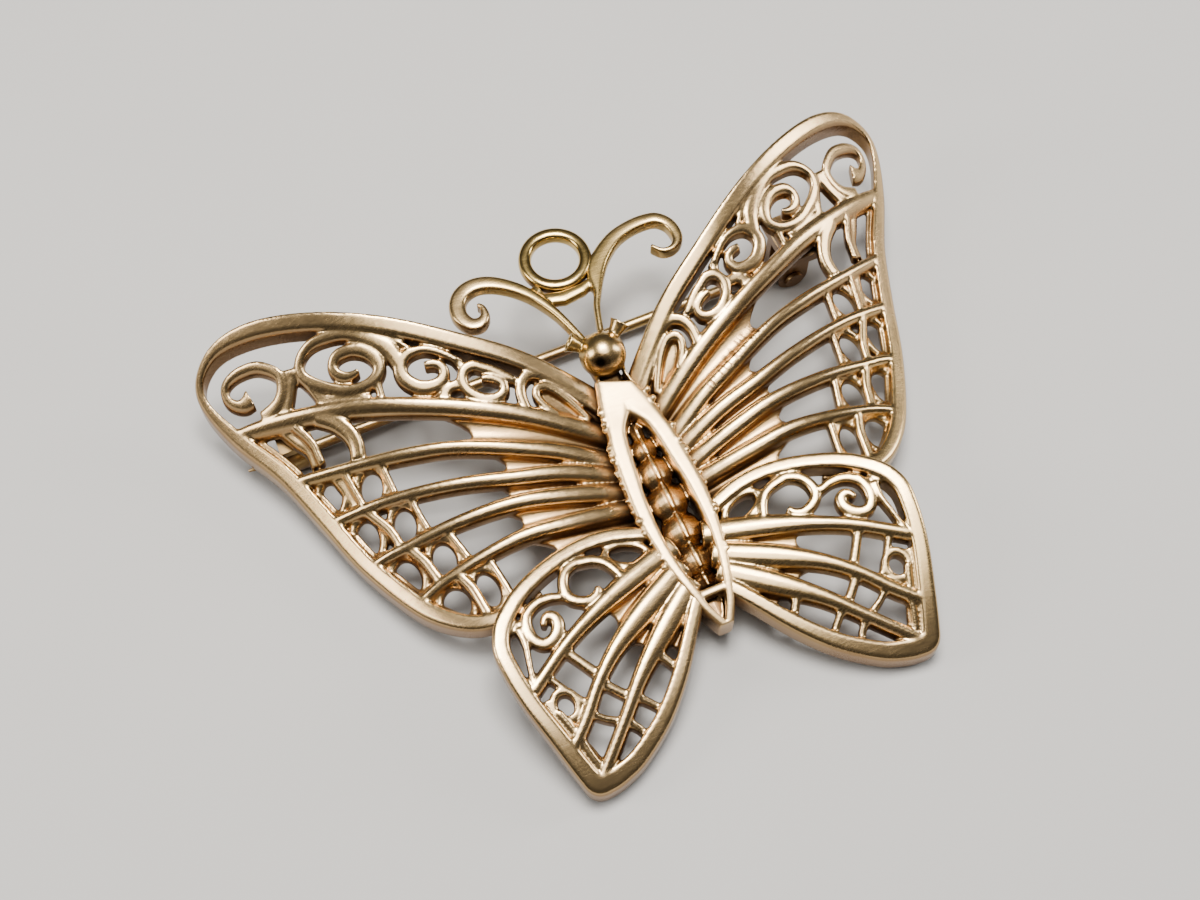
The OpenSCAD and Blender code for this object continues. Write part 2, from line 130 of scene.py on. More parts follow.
class Paint:
    """One material, whose nodes all come from the method node."""

    def __init__(self, name):
        self.material = bpy.data.materials.new(name)
        self.material.use_nodes = True
        self.tree = self.material.node_tree
        self.tree.nodes.clear()

    def node(self, kind, settings, inputs, output=0):
        made = self.tree.nodes.new(kind)
        for key, value in settings.items():
            setattr(made, key, value)
        for key, value in inputs.items():
            socket = made.inputs[key]
            if isinstance(value, Value):
                self.tree.links.new(value.socket, socket)
            elif isinstance(value, tuple) and len(value) == 3 and socket.type == "RGBA":
                socket.default_value = (*value, 1)
            else:
                socket.default_value = value
        return Value(self, made.outputs[output]) if len(made.outputs) else None

    def mix(self, factor, a, b):
        """Lays colour b over colour a. The numbers are the colour sockets of the Mix node."""
        return self.node("ShaderNodeMix", {"data_type": "RGBA"}, {0: factor, 6: a, 7: b}, 2)

    def noise(self, where, scale, detail=2.0, rough=0.5):
        return self.node("ShaderNodeTexNoise", {}, {"Vector": where, "Scale": scale, "Detail": detail,
                                                    "Roughness": rough})


print("Helpers for materials:", Value.__name__, "and", Paint.__name__)


# %% [markdown]
# ## Satin gold
# Real gold jewellery is never one yellow. Here shade is painted into the colour as well: the deeper
# a surface lies below the face and the more it turns sideways or down, the warmer and darker it is
# painted, and corners that little light reaches are painted brown and black. A painted picture could
# show this, but it would not fit a mesh made of thousands of melted faces. Masks do fit: the depth
# below the face, which each piece carries as an attribute, the way a surface faces, the light that
# reaches a corner, slow patches of toning, and fine hairlines from polishing cloths.

# %% Masks that every gold finish is mixed from
# Each noise: scale, as counts per metre of the Object coordinates, detail and roughness
PATCH, CLOUD, GRIT = (330.0, 3.0, 0.55), (90.0, 2.0, 0.5), (4200.0, 3.0, 0.6)
# The hairlines: noise on coordinates that are first turned and stretched
HAIRS = (1.0, 2.0, 0.6)
HAIR_TURN = (0.3, 0.2, 0.9)
HAIR_SCALE = (900.0, 9000.0, 4000.0)
CORNER_REACH = 1.4 * MM
CORNER_RAYS = 6


# Masks for painted shade (depth below the face, facing, ambient occlusion) and for toning and polishing
# hairlines
def shade_and_wear_masks(p):
    spot = p.node("ShaderNodeTexCoord", {}, {}, "Object")
    light = p.node("ShaderNodeAmbientOcclusion", {"samples": CORNER_RAYS, "only_local": False},
                   {"Distance": CORNER_REACH}, "AO")
    facing = p.node("ShaderNodeNewGeometry", {}, {}, "Normal")
    brushed = p.node("ShaderNodeMapping", {}, {"Vector": spot, "Rotation": HAIR_TURN, "Scale": HAIR_SCALE})
    return SimpleNamespace(
        spot=spot,
        hidden=(1 - light).clamp(),
        depth=p.node("ShaderNodeAttribute", {"attribute_name": "below"}, {}, "Fac"),
        upward=p.node("ShaderNodeSeparateXYZ", {}, {"Vector": facing}, "Z"),
        patch=p.noise(spot, *PATCH),
        cloud=p.noise(spot, *CLOUD),
        grit=p.noise(spot, *GRIT),
        hairs=p.noise(brushed, *HAIRS))


# %% Colours laid over one another
PALE_GOLD = (0.83, 0.575, 0.285)
WARM_GOLD = (0.53, 0.32, 0.142)
DEEP_GOLD = (0.18, 0.10, 0.046)
# Near black, for painted shade in the deepest corners and for the heart of the painted dark reflection
PAINTED_BLACK = (0.03, 0.018, 0.01)
OLIVE = (0.62, 0.44, 0.15)
# The layers: how much each mask counts, and from where to where the layer fades in
# Painted shade in recesses: pale gold turns warm gold the deeper a surface lies below the face
RECESS_SHADE = SimpleNamespace(depth=0.85, patch=0.4, fade=(0.1, 0.5))
# Painted shade on walls: surfaces that face sideways or down are darkened towards deep gold
WALL_SHADE = SimpleNamespace(least=0.82, depth=0.18, patch=0.3, fade=(0.15, 0.7))
TONED = SimpleNamespace(fade=(0.46, 0.72))
# Painted shade in corners: where ambient occlusion finds little light, the gold turns deep brown
CORNER_SHADE = SimpleNamespace(hidden=1.15, patch=0.3, fade=(0.15, 0.85))
# Painted shade in the deepest corners, broken up by grit
DEEPEST_SHADE = SimpleNamespace(grit=0.3, fade=(0.55, 0.95))


def layered_colour(p, m, recess_shade, painted_shade, tone):
    """Pale tops, painted shade in the depths and on the walls, olive clouds of toning, then painted brown and
    black shade in the corners.
    """
    # Painted shade: the deeper below the face, the warmer and darker the gold, varied by slow patches
    shade = (m.depth * RECESS_SHADE.depth + (m.patch - 0.5) * RECESS_SHADE.patch).between(*RECESS_SHADE.fade)
    metal = p.mix(shade * recess_shade, PALE_GOLD, WARM_GOLD)
    # Painted shade on the walls, by how far a surface turns away from straight up
    wall_shade = (1 - m.upward + (m.patch - 0.5) * WALL_SHADE.patch).between(*WALL_SHADE.fade)
    metal = p.mix((wall_shade * (WALL_SHADE.least + m.depth * WALL_SHADE.depth) * painted_shade).clamp(), metal, DEEP_GOLD)
    metal = p.mix(m.cloud.between(*TONED.fade) * tone, metal, OLIVE)
    # Painted shade: corners that little light reaches are darkened towards deep gold
    painted_corner_shade = (m.hidden * CORNER_SHADE.hidden + (m.patch - 0.5) * CORNER_SHADE.patch).between(*CORNER_SHADE.fade)
    metal = p.mix(painted_corner_shade * painted_shade, metal, DEEP_GOLD)
    # Painted shade: the most hidden corners turn nearly black
    painted_black_shade = (m.hidden + (m.grit - 0.5) * DEEPEST_SHADE.grit).between(*DEEPEST_SHADE.fade)
    return p.mix(painted_black_shade * painted_shade, metal, PAINTED_BLACK)


print("Gold tones:", PALE_GOLD, WARM_GOLD, DEEP_GOLD)

# %% [markdown]
# ## A painted dark reflection and a strip of file cuts
# A dark reflection of the camera's side is painted on the ball of the head, and a strip of slanted
# file cuts crosses the webs of the right forewing. Each sits at one place, so both are built from
# Object coordinates: the painted reflection is the distance from a point, and the cuts are stretched
# noise inside a narrow strip. Neither needs geometry, only colour, and the cuts a little bump.

# %% A painted dark reflection and a strip of file cuts
# The painted dark reflection: radius of its deep gold rim and of its black heart, their softness, and how
# dark the rim is
REFLECTION_RIM, REFLECTION_HEART = 0.8 * MM, 0.5 * MM
REFLECTION_RIM_SOFT, REFLECTION_HEART_SOFT, REFLECTION_RIM_DARKNESS = 0.3, 0.6, 0.75
CUT_SLANT = (0.0, 0.0, 0.9)
CUT_SCALE = (4.5, 0.7, 1.0)
CUT_NOISE, CUT_EDGE = (1.0, 3.0, 0.6), (0.5, 0.57)
# Where the strip of cuts fades, in mm at its ends and in mm squared at its sides
CUT_FADE_IN, CUT_FADE_OUT, CUT_SIDES = 0.6, 1.2, (0.1, 0.45)


def paint_dark_reflection(p, spot, metal, centre):
    """Paints a dark reflection round a point, which is given in mm: deep gold in a rim, near black in its
    heart.
    """
    place = tuple(value * MM for value in centre)
    off = p.node("ShaderNodeVectorMath", {"operation": "DISTANCE"}, {0: spot, 1: place}, "Value")
    metal = p.mix((1 - off / REFLECTION_RIM).between(0.0, REFLECTION_RIM_SOFT) * REFLECTION_RIM_DARKNESS, metal, DEEP_GOLD)
    return p.mix((1 - off / REFLECTION_HEART).between(0.0, REFLECTION_HEART_SOFT), metal, PAINTED_BLACK)


def file_cuts(p, spot, start_x, start_y, way, length):
    """Mask of the cuts in a strip, from its start and length in mm and its way in degrees."""
    local = p.node("ShaderNodeMapping", {"vector_type": "TEXTURE"}, {
        "Vector": spot, "Location": (start_x * MM, start_y * MM, 0.0),
        "Rotation": (0.0, 0.0, math.radians(way)), "Scale": (MM, MM, MM)})
    run = p.node("ShaderNodeSeparateXYZ", {}, {"Vector": local}, "X")
    aside = p.node("ShaderNodeSeparateXYZ", {}, {"Vector": local}, "Y")
    slanted = p.node("ShaderNodeMapping", {}, {"Vector": local, "Rotation": CUT_SLANT, "Scale": CUT_SCALE})
    cuts = p.noise(slanted, *CUT_NOISE).between(*CUT_EDGE)
    cuts = cuts * run.between(0.0, CUT_FADE_IN) * (1 - run.between(length - CUT_FADE_OUT, length))
    return cuts * (1 - (aside * aside).between(*CUT_SIDES))


# Sizes of the painted dark reflection on the head
print("Pit, mm:", round(REFLECTION_HEART / MM, 2), "inside", round(REFLECTION_RIM / MM, 2))

# %% [markdown]
# ## One finish, six variants
# All the metal is one alloy, so one function makes every finish, and its settings say how strong the
# painted shade is in the depths and on the walls and corners, how strongly a piece is toned and how
# rough it is. The same hairlines, grit and patches break up the gloss and feed a very shallow bump,
# which keeps the metal satin.

# %% The gold finish
BUMP_STRENGTH, BUMP_DEPTH = 0.3, 0.03 * MM
# How much each mask roughens the gloss, and how much it counts in the relief
GLOSS = SimpleNamespace(patch=0.1, hidden=0.22, hairs=0.12)
RELIEF = SimpleNamespace(hairs=0.2, grit=0.12, patch=0.9, cuts=2.5)
CUT_BROWN = 0.9


# The first two settings after the name set how strong the painted shade is: in the depths, and then on the
# walls and in the corners
def gold_finish(name, recess_shade=0.85, rough=0.25, painted_shade=1.0, tone=0.25, grain=1.0, deep_shine=0.0,
                dark_reflection=None, cuts=None):
    p = Paint(name)
    m = shade_and_wear_masks(p)
    metal = layered_colour(p, m, recess_shade, painted_shade, tone)
    gloss = rough - m.depth * deep_shine + (m.patch - 0.5) * GLOSS.patch
    gloss = gloss + m.hidden * GLOSS.hidden + (m.hairs - 0.5) * GLOSS.hairs
    relief = m.hairs * RELIEF.hairs + m.grit * RELIEF.grit + m.patch * RELIEF.patch
    # A painted dark reflection round a point, where one is given
    if dark_reflection:
        metal = paint_dark_reflection(p, m.spot, metal, dark_reflection)
    if cuts:
        filed = file_cuts(p, m.spot, *cuts)
        metal = p.mix(filed * CUT_BROWN, metal, DEEP_GOLD)
        relief = relief - filed * RELIEF.cuts
    bump = p.node("ShaderNodeBump", {}, {"Strength": BUMP_STRENGTH * grain, "Distance": BUMP_DEPTH,
                                         "Height": relief})
    shader = p.node("ShaderNodeBsdfPrincipled", {}, {
        "Base Color": metal, "Metallic": 1.0, "Roughness": gloss.clamp(), "Normal": bump})
    p.node("ShaderNodeOutputMaterial", {}, {"Surface": shader})
    return p.material


# %% Finishes of the wings, body, head, ring and findings
# Centre of the painted dark reflection on the head ball, in mm
HEAD_REFLECTION = (-0.62, 6.65, 7.62)
WEB_CUTS = (5.2, 2.9, 26.8, 7.2)

gold = gold_finish("satin_gold")
filed_gold = gold_finish("filed_gold", cuts=WEB_CUTS)
# The body frame gets weaker painted shade on its walls and in its corners
body_gold = gold_finish("body_gold", rough=0.38, painted_shade=0.65, deep_shine=0.5)
head_gold = gold_finish("head_gold", rough=0.26, tone=0.9, dark_reflection=HEAD_REFLECTION)
ring_gold = gold_finish("ring_gold", rough=0.2, tone=0.9)
# The findings get the strongest painted shade in their depths, on their walls and in their corners
drawn_gold = gold_finish("drawn_gold", recess_shade=1.0, rough=0.3, painted_shade=1.3, tone=0.7, grain=0.7)
print("Materials:", [m.name for m in (gold, filed_gold, body_gold, head_gold, ring_gold, drawn_gold)])

# %% [markdown]
# ## The wing's face
# Both wings are gently domed sheets in space, and every strip lies on such a sheet. A sheet could
# be modelled and the strips projected on it. Two short formulas are simpler: they give the height
# of the face above the cloth for any point of the plan. All plan tables are shares: 100 is half the
# wingspan, counted from the middle of the body, so the lines scale with the brooch.

# %% Sizes, the two faces and smooth lines
HALF_SPAN = 26.0
SHARE = HALF_SPAN / 100
PLAN_SHIFT = 1.2
# Forewing: height at the root, arch across, and lift and curl towards the head, in mm; the reach of
# the arch is a share
ROOT_H, WING_ARCH, ARCH_REACH, WING_LIFT, WING_CURL = 3.5, 2.3, 0.71, 6, 7
# Hindwing: height and rise outwards, and the fall of the tail behind a line, in mm and shares
HIND_H, HIND_RISE, HIND_FALL, FALL_FROM, FALL_LINE = 4.5, 2.6, 12.8, 0.23, -6


def fore_face(x, y):
    run, up = x / HALF_SPAN / ARCH_REACH, y / HALF_SPAN
    return ROOT_H + 4 * WING_ARCH * run * (1 - run) + WING_LIFT * up + WING_CURL * up * up


def hind_face(x, y):
    fall = 0 if y > FALL_LINE else HIND_FALL * (y / HALF_SPAN + FALL_FROM) ** 2
    return HIND_H + HIND_RISE * x / HALF_SPAN - fall


def smooth(rows, steps):
    """Catmull-Rom curve through the rows of a table, with every column blended."""
    made = []
    last = len(rows) - 1
    for i in range(last):
        a, b, c, d = rows[max(i - 1, 0)], rows[i], rows[i + 1], rows[min(i + 2, last)]
        for k in range(steps):
            t = k / steps
            made.append([0.5 * (2 * q + (r - p) * t + (2 * p - 5 * q + 4 * r - s) * t * t
                                + (3 * q - p - 3 * r + s) * t ** 3) for p, q, r, s in zip(a, b, c, d)])
    return made + [list(rows[-1])]


def along(rows, t):
    """The row at share t of a path."""
    where = min(max(t, 0), 1) * (len(rows) - 1)
    i = min(int(where), len(rows) - 2)
    return [a + (b - a) * (where - i) for a, b in zip(rows[i], rows[i + 1])]


print("Face height at the fore tip, mm:", round(fore_face(25, 15), 2))
print("Face height at the tail, mm:", round(hind_face(11, -19), 2))

# %% [markdown]
# ## One tree for every strip of metal
# A jeweller rolls flat wire and bends it on edge. Here a line of points carries its half width and
# depth as attributes, and the tree sweeps a section along it: a squarish section makes a rim, a
# rounder one makes a vein or a scroll wire. The sweep is done with plain Curve to Mesh, and then
# each point is set from the line's own side and depth, so the strip always lies on the wing's face.
# A bevelled curve would be quicker to make, but it turns about its own line on a dome.

# %% A small class for Geometry Nodes trees
class Tree:
    """A node group whose nodes all come from the method add, which returns the node's outputs."""

    def __init__(self, name, sockets):
        self.tree = bpy.data.node_groups.new(name, "GeometryNodeTree")
        face = self.tree.interface
        face.new_socket("Geometry", in_out="INPUT", socket_type="NodeSocketGeometry")
        for title, kind, value in sockets:
            socket = face.new_socket(title, in_out="INPUT", socket_type="NodeSocket" + kind)
            if value is not None:
                socket.default_value = value
        face.new_socket("Geometry", in_out="OUTPUT", socket_type="NodeSocketGeometry")
        self.start = self.add("NodeGroupInput")

    def add(self, kind, links=(), **settings):
        node = self.tree.nodes.new(kind)
        for title, value in settings.items():
            setattr(node, title, value)
        for socket, source in dict(links).items():
            if isinstance(source, bpy.types.NodeSocket):
                self.tree.links.new(source, node.inputs[socket])
            else:
                node.inputs[socket].default_value = source
        return node.outputs

    def maths(self, operation, a, b=0.0):
        return self.add("ShaderNodeMath", {0: a, 1: b}, operation=operation)[0]

    def stretch(self, vector, by):
        return self.add("ShaderNodeVectorMath", {0: vector, "Scale": by}, operation="SCALE")[0]

    def sum(self, a, b):
        return self.add("ShaderNodeVectorMath", {0: a, 1: b}, operation="ADD")[0]

    def store(self, geometry, title, value):
        links = {"Geometry": geometry, "Name": title, "Value": value}
        return self.add("GeometryNodeStoreNamedAttribute", links, data_type="FLOAT_VECTOR", domain="POINT")[0]

    def read(self, title, kind):
        return self.add("GeometryNodeInputNamedAttribute", {"Name": title}, data_type=kind)[0]

    def finish(self, geometry):
        real = self.add("GeometryNodeRealizeInstances", {0: geometry})
        metal = self.add("GeometryNodeSetMaterial", {"Geometry": real[0], "Material": self.start["Metal"]})
        self.add("NodeGroupOutput", {0: metal[0]})
        return self.tree


def run_tree(tree, mesh, values):
    """Runs a mesh through a tree with its inputs set by name, and returns a plain mesh."""
    carrier = bpy.data.objects.new(tree.name, mesh)
    bpy.context.scene.collection.objects.link(carrier)
    modifier = carrier.modifiers.new("tree", "NODES")
    modifier.node_group = tree
    for item in tree.interface.items_tree:
        if item.item_type == "SOCKET" and item.in_out == "INPUT" and item.name in values:
            modifier[item.identifier] = values[item.name]
    seen = carrier.evaluated_get(bpy.context.evaluated_depsgraph_get())
    grown = bpy.data.meshes.new_from_object(seen)
    bpy.data.objects.remove(carrier)
    bpy.data.meshes.remove(mesh)
    return grown


# %% Geometry Nodes tree: swept strip
def strip_tree():
    t = Tree("swept_strip", [("Section points", "Int", 14), ("Squareness", "Float", 3.0),
                             ("Metal", "Material", None)])
    line = t.add("GeometryNodeMeshToCurve", {0: t.start["Geometry"]})
    here = t.add("GeometryNodeInputPosition")[0]
    kept = t.store(line[0], "spot", here)
    ring = t.add("GeometryNodeCurvePrimitiveCircle", {"Resolution": t.start["Section points"], "Radius": 1.0})
    split = t.add("ShaderNodeSeparateXYZ", {0: here})
    power = t.maths("DIVIDE", 2.0, t.start["Squareness"])
    rounded = [t.maths("MULTIPLY", t.maths("POWER", t.maths("ABSOLUTE", split[i]), power),
                       t.maths("SIGN", split[i])) for i in range(2)]
    shape = t.add("ShaderNodeCombineXYZ", {0: rounded[0], 1: rounded[1]})[0]
    section = t.store(ring[0], "shape", shape)
    tube = t.add("GeometryNodeCurveToMesh", {"Curve": kept, "Profile Curve": section, "Fill Caps": True})[0]
    form = t.add("ShaderNodeSeparateXYZ", {0: t.read("shape", "FLOAT_VECTOR")})
    aside = t.stretch(t.read("side", "FLOAT_VECTOR"), form[0])
    down = t.maths("MULTIPLY", t.maths("SUBTRACT", form[1], 1.0), t.read("deep", "FLOAT"))
    under = t.stretch(t.read("rise", "FLOAT_VECTOR"), t.maths("MULTIPLY", down, 0.5))
    place = t.sum(t.read("spot", "FLOAT_VECTOR"), t.sum(aside, under))
    placed = t.add("GeometryNodeSetPosition", {"Geometry": tube, "Position": place})
    return t.finish(placed[0])


STRIP = strip_tree()
print("Strip tree:", len(STRIP.nodes), "nodes")

# %% [markdown]
# ## From a table to strips
# A strip is stored as a row of points, each with a width and a depth. Its side vector lies in the
# wing's face, so a broad rim follows the dome. All strips of one kind go through the tree at once,
# with the count of points round their section and its squareness: 2 is round, 5 nearly square.


# %% Strips as line meshes
RIM_CUT, VEIN_CUT, WIRE_CUT, ARC_CUT = (18, 5.0), (16, 2.3), (14, 3.2), (14, 2.8)
OVAL_CUT, LEDGE_CUT = (12, 2.4), (12, 3.0)
UP = Vector((0, 0, 1))
TOUCHING, NO_LENGTH = 1e-5, 1e-9


def wing_line(rows, width, deep, sink, face, closed=False):
    """rows: out, up, width share (in shares of half the span). Returns points with side and depth."""
    count = len(rows)
    made = []
    for i, row in enumerate(rows):
        before = rows[i - 1] if (i or closed) else row
        after = rows[(i + 1) % count] if (i < count - 1 or closed) else row
        way = Vector((after[0] - before[0], after[1] - before[1]))
        way = way.normalized() if way.length > NO_LENGTH else Vector((1, 0))
        x, y = row[0] * SHARE, row[1] * SHARE
        half = row[2] * width / 2
        dx, dy = -way.y * half, way.x * half
        edge = Vector((dx, dy, (face(x + dx, y + dy) - face(x - dx, y - dy)) / 2))
        made.append((Vector((x, y, face(x, y) - sink)), edge, UP, deep))
    return made, closed


def sweep(lines, section, name="strips"):
    """Runs line meshes through the strip tree and returns a plain mesh, in millimetres."""
    mesh = bpy.data.meshes.new(name)
    spots, sides, rises, deeps, edges = [], [], [], [], []
    for made, closed in lines:
        first = len(spots)
        for spot, side, rise, deep in made:
            spots.append(spot)
            sides.extend(side)
            rises.extend(rise)
            deeps.append(deep)
        edges += [(first + i, first + i + 1) for i in range(len(made) - 1)]
        if closed:
            edges.append((first + len(made) - 1, first))
    mesh.from_pydata(spots, edges, [])
    mesh.attributes.new("side", "FLOAT_VECTOR", "POINT").data.foreach_set("vector", sides)
    mesh.attributes.new("rise", "FLOAT_VECTOR", "POINT").data.foreach_set("vector", rises)
    mesh.attributes.new("deep", "FLOAT", "POINT").data.foreach_set("value", deeps)
    points, squareness = section
    return run_tree(STRIP, mesh, {"Section points": points, "Squareness": squareness, "Metal": gold})


def mesh_of(part, name):
    """Turns a bmesh into a plain mesh and frees it."""
    mesh = bpy.data.meshes.new(name)
    part.to_mesh(mesh)
    part.free()
    return mesh


def gather(meshes):
    """Joins meshes into one bmesh, with all faces turned outwards."""
    joined = bmesh.new()
    for mesh in meshes:
        part = bmesh.new()
        part.from_mesh(mesh)
        bmesh.ops.remove_doubles(part, verts=part.verts, dist=TOUCHING)
        bmesh.ops.recalc_face_normals(part, faces=part.faces)
        part.to_mesh(mesh)
        part.free()
        joined.from_mesh(mesh)
        bpy.data.meshes.remove(mesh)
    return joined


print("Sections of the strips:", RIM_CUT, VEIN_CUT, WIRE_CUT, ARC_CUT, OVAL_CUT, LEDGE_CUT)

# %% [markdown]
# ## Lines of the forewing
# The forewing has a broad rim that runs round it, five veins from the body, four scrolls between
# rim and first vein, and along the margin oval rings with small bars between them. Scroll work is
# bent by eye, so no formula gives it, and its lines are short tables with only the points that a
# smooth curve needs. Each row is a point: out from the body, up towards the head, width share.

# %% Forewing: rim and veins
FORE_RIM = [[2.5, 14.5, 1], [19, 29, 1.05], [34.5, 39, 1], [52, 50, 0.95], [69, 59, 0.9],
            [82.5, 64.5, 0.85], [92, 66, 0.65], [98, 63, 0.55], [98.5, 57, 0.55], [94, 46, 0.8],
            [86.5, 32, 0.9], [81, 17, 0.95], [76, 2, 0.95], [69, -12.5, 1], [63.5, -20.5, 0.95],
            [56.5, -26, 0.9], [49, -27.5, 0.85], [42, -25.5, 0.8]]
FORE_VEINS = [
    [[4, 5.5, 1.5], [22.5, 16, 1.4], [37, 23, 1.3], [50, 29, 1.25], [64, 35.5, 1.25], [83, 43, 1.2],
     [94, 47, 1]],
    [[4, -2, 1.45], [19, 5.5, 1.3], [29, 9.5, 1.15], [45, 16, 1], [56, 19.5, 1], [71, 24, 0.9],
     [86, 29, 0.9]],
    [[5, -4.6, 1.45], [21, 0.5, 1.3], [34, 3.5, 1.15], [46, 7, 1], [61, 11, 0.9], [70, 13, 0.9],
     [81, 15, 0.9]],
    [[5, -9, 1.45], [23.5, -5, 1.3], [36, -2.5, 1.15], [52, -1, 1], [64, -0.5, 0.9], [70, 0, 0.9],
     [76, 0, 0.9]],
    [[5, -13.2, 1.45], [25, -12, 1.3], [36.5, -11, 1.15], [48, -11.5, 1], [58.5, -12.5, 0.9],
     [64, -13.5, 0.9], [69, -15, 0.9]]]
FORE_TRAIL = [[7, -19, 1], [20, -19, 1], [34, -22, 1], [47, -27.5, 1], [57, -26.5, 1], [64, -21, 1]]

# %% Forewing: scrolls and their struts
# The four scrolls and the two loops at the root, as runs of wire: out, up, width share
FORE_CURLS = [
    [[86.4, 46.1, 1.5], [81.8, 46.6, 1.3], [79.2, 48.9, 1.15], [78.8, 52.3, 1], [82.5, 56.4, 1],
     [86.3, 58.1, 1], [89.7, 58.7, 0.95], [92.3, 58.1, 0.9], [93, 56.1, 0.85], [92.4, 54.2, 0.85],
     [90.7, 52.4, 1.0], [88.8, 51.8, 1.5], [87.2, 52, 1.9]],
    [[49.9, 39.5, 1.5], [50.8, 43.2, 1.6], [53.2, 46.3, 1.4], [56.7, 49.3, 1.15], [60.2, 51.5, 1],
     [64.4, 52.9, 1], [68.1, 53.5, 1], [71.1, 52.8, 1], [73.1, 51, 1.05], [73.2, 48.4, 1.1],
     [71.5, 45.7, 1.15], [68.9, 43.2, 1.1], [64.6, 40.1, 1.05], [60.4, 38.8, 1.05], [57, 39, 1.15],
     [54.8, 40.6, 1.3], [55, 43.3, 1.3], [56.7, 45.7, 1.2], [59.3, 47.4, 1.1], [62.1, 48.1, 1.1],
     [64.2, 47.8, 1.1], [65.5, 46.3, 1.05], [65, 44.3, 1], [63.3, 42.8, 0.9], [61.2, 42.3, 0.75],
     [59.8, 42.5, 0.6]],
    [[36, 34.7, 0.7], [38.3, 37, 0.75], [40.9, 39, 0.75], [43.6, 40.3, 0.8], [46.8, 40.6, 1],
     [49.1, 39.7, 1.3], [50.3, 37.7, 1.45], [49.7, 35.2, 1.4], [47.5, 32.7, 1.35],
     [44.7, 31.5, 1.3], [42, 31.6, 1.2], [40.3, 33, 1.1], [40.3, 34.8, 1], [41.9, 36.1, 0.85],
     [44.2, 36.6, 0.7]],
    [[24.1, 25.8, 0.8], [26, 27.6, 0.95], [28.2, 29.5, 1], [30.5, 31, 1], [32.9, 32.4, 1.05],
     [35.3, 31.9, 1.05], [36.6, 30.1, 1.1], [36.5, 27.8, 1.1], [35.2, 25.7, 1.1], [33, 23.9, 1.1],
     [30.1, 23.2, 1.05], [27.7, 24.2, 1], [27.4, 26.2, 0.95], [29.4, 27.9, 0.85], [32, 28.7, 0.7]],
    [[5.9, 13.6, 1], [11.3, 19.6, 1.05], [16, 24.6, 1.1], [19.6, 26.4, 1.1], [22.6, 25, 1.1],
     [24, 22.1, 1.1], [24, 18.5, 1]],
    [[9.3, 11.6, 0.8], [11.6, 15.9, 0.85], [14.3, 20, 0.9], [17, 22.4, 0.9], [19.4, 22.4, 0.9],
     [20.3, 20.6, 0.9], [19.4, 18, 0.8], [17, 14.9, 0.7]]]
# Short struts and feet: from out, up, bend out, up, to out, up, width share
FORE_TIES = [[76.3, 49.8, 78.1, 46.8, 80.7, 43.9, 1.5], [73.3, 49.5, 75.5, 50.6, 78.6, 51.5, 1.1],
             [73.3, 48.2, 72, 44.8, 70.3, 39.5, 1.1], [70.1, 40.7, 65.1, 38.6, 59.5, 35.5, 0.9],
             [51.8, 47.8, 48.2, 44.2, 45.8, 41.2, 0.6], [37.5, 29.4, 40.4, 29.5, 43.6, 27.5, 1.2],
             [36, 34.9, 35.6, 33, 35.8, 31.6, 1.1], [36, 26.8, 35.7, 24.5, 36, 22.6, 1.1],
             [42.5, 31.8, 42, 30, 42, 27, 1.0], [56.4, 39.2, 56.8, 36, 57.2, 33.2, 0.9]]

# %% Forewing: rings and arcs of the margin
# Openings of the margin cells: out, up, half length, half width, lean
FORE_OVALS = [[77.4, 20.9, 2.7, 3.9, 18], [67.4, 17.4, 2.8, 3.7, 15], [73.1, 6.9, 3, 4.6, 10],
              [63.3, 5, 2.8, 4.1, 8], [67.6, -7, 3.3, 4.8, 0], [57.6, -7.3, 2.9, 4.2, 0],
              [59, -18.8, 3.4, 4.2, -8], [50.6, -19.2, 2.6, 4.6, -5]]
# Raised arcs between the openings: points, width share, how far below the face
FORE_ARCS = [
    ([[73.5, 38.6], [69.9, 35], [67.6, 31], [67.1, 27.8], [67.9, 24.6]], 1.55, 0.05),
    ([[79.7, 39.8], [77.9, 36.3], [76.9, 33.4], [76.8, 31], [76.6, 28.4]], 0.8, 0.1),
    ([[83, 41.5], [80.6, 37], [78.6, 33.5], [78.5, 29.2]], 0.8, 0.5),
    ([[74.9, 25.3], [73.5, 20.6], [72.8, 16.8], [72.9, 13.6]], 1.2, 0.4),
    ([[72.4, 24], [71.8, 19.4], [71.3, 15.9], [71.1, 13.4]], 0.7, 0.1),
    ([[63.2, 20.6], [62.8, 15.8], [62.6, 12.2]], 0.7, 0.25),
    ([[70.9, 12.5], [68.2, 7.5], [67, 4.5], [66.2, 0.2]], 0.95, 0.1),
    ([[59.6, 10], [59.1, 5], [58.3, 0]], 0.7, 0.25),
    ([[64.6, -1], [62.4, -5.5], [61.4, -9.3], [60.6, -12.8]], 1.05, 0.1),
    ([[54.5, -1.4], [53, -6.6], [51.8, -11.2]], 0.8, 0.25),
    ([[56, -13], [54.2, -17.5], [53.6, -21.6], [53, -26]], 1.05, 0.1),
    ([[47.8, -12], [46.8, -17.6], [45.9, -24]], 0.8, 0.3)]

# %% Widths of the strips, and helpers for rings and struts
RIM_W, HIND_RIM_W, RIM_DEEP = 1.2, 1.08, 1.8
VEIN_W, VEIN_DEEP, VEIN_SINK = 1.02, 1.5, 0.02
SCROLL_W, SCROLL_DEEP, SCROLL_SINK = 0.72, 1.1, 0.1
STRUT_SINK, STRUT_WAIST = 0.2, 0.85
OVAL_STEP = 15
# Points that a smooth line gets for each row of its table
RIM_STEPS, VEIN_STEPS, WIRE_STEPS, STRUT_STEPS = 8, 6, 5, 7


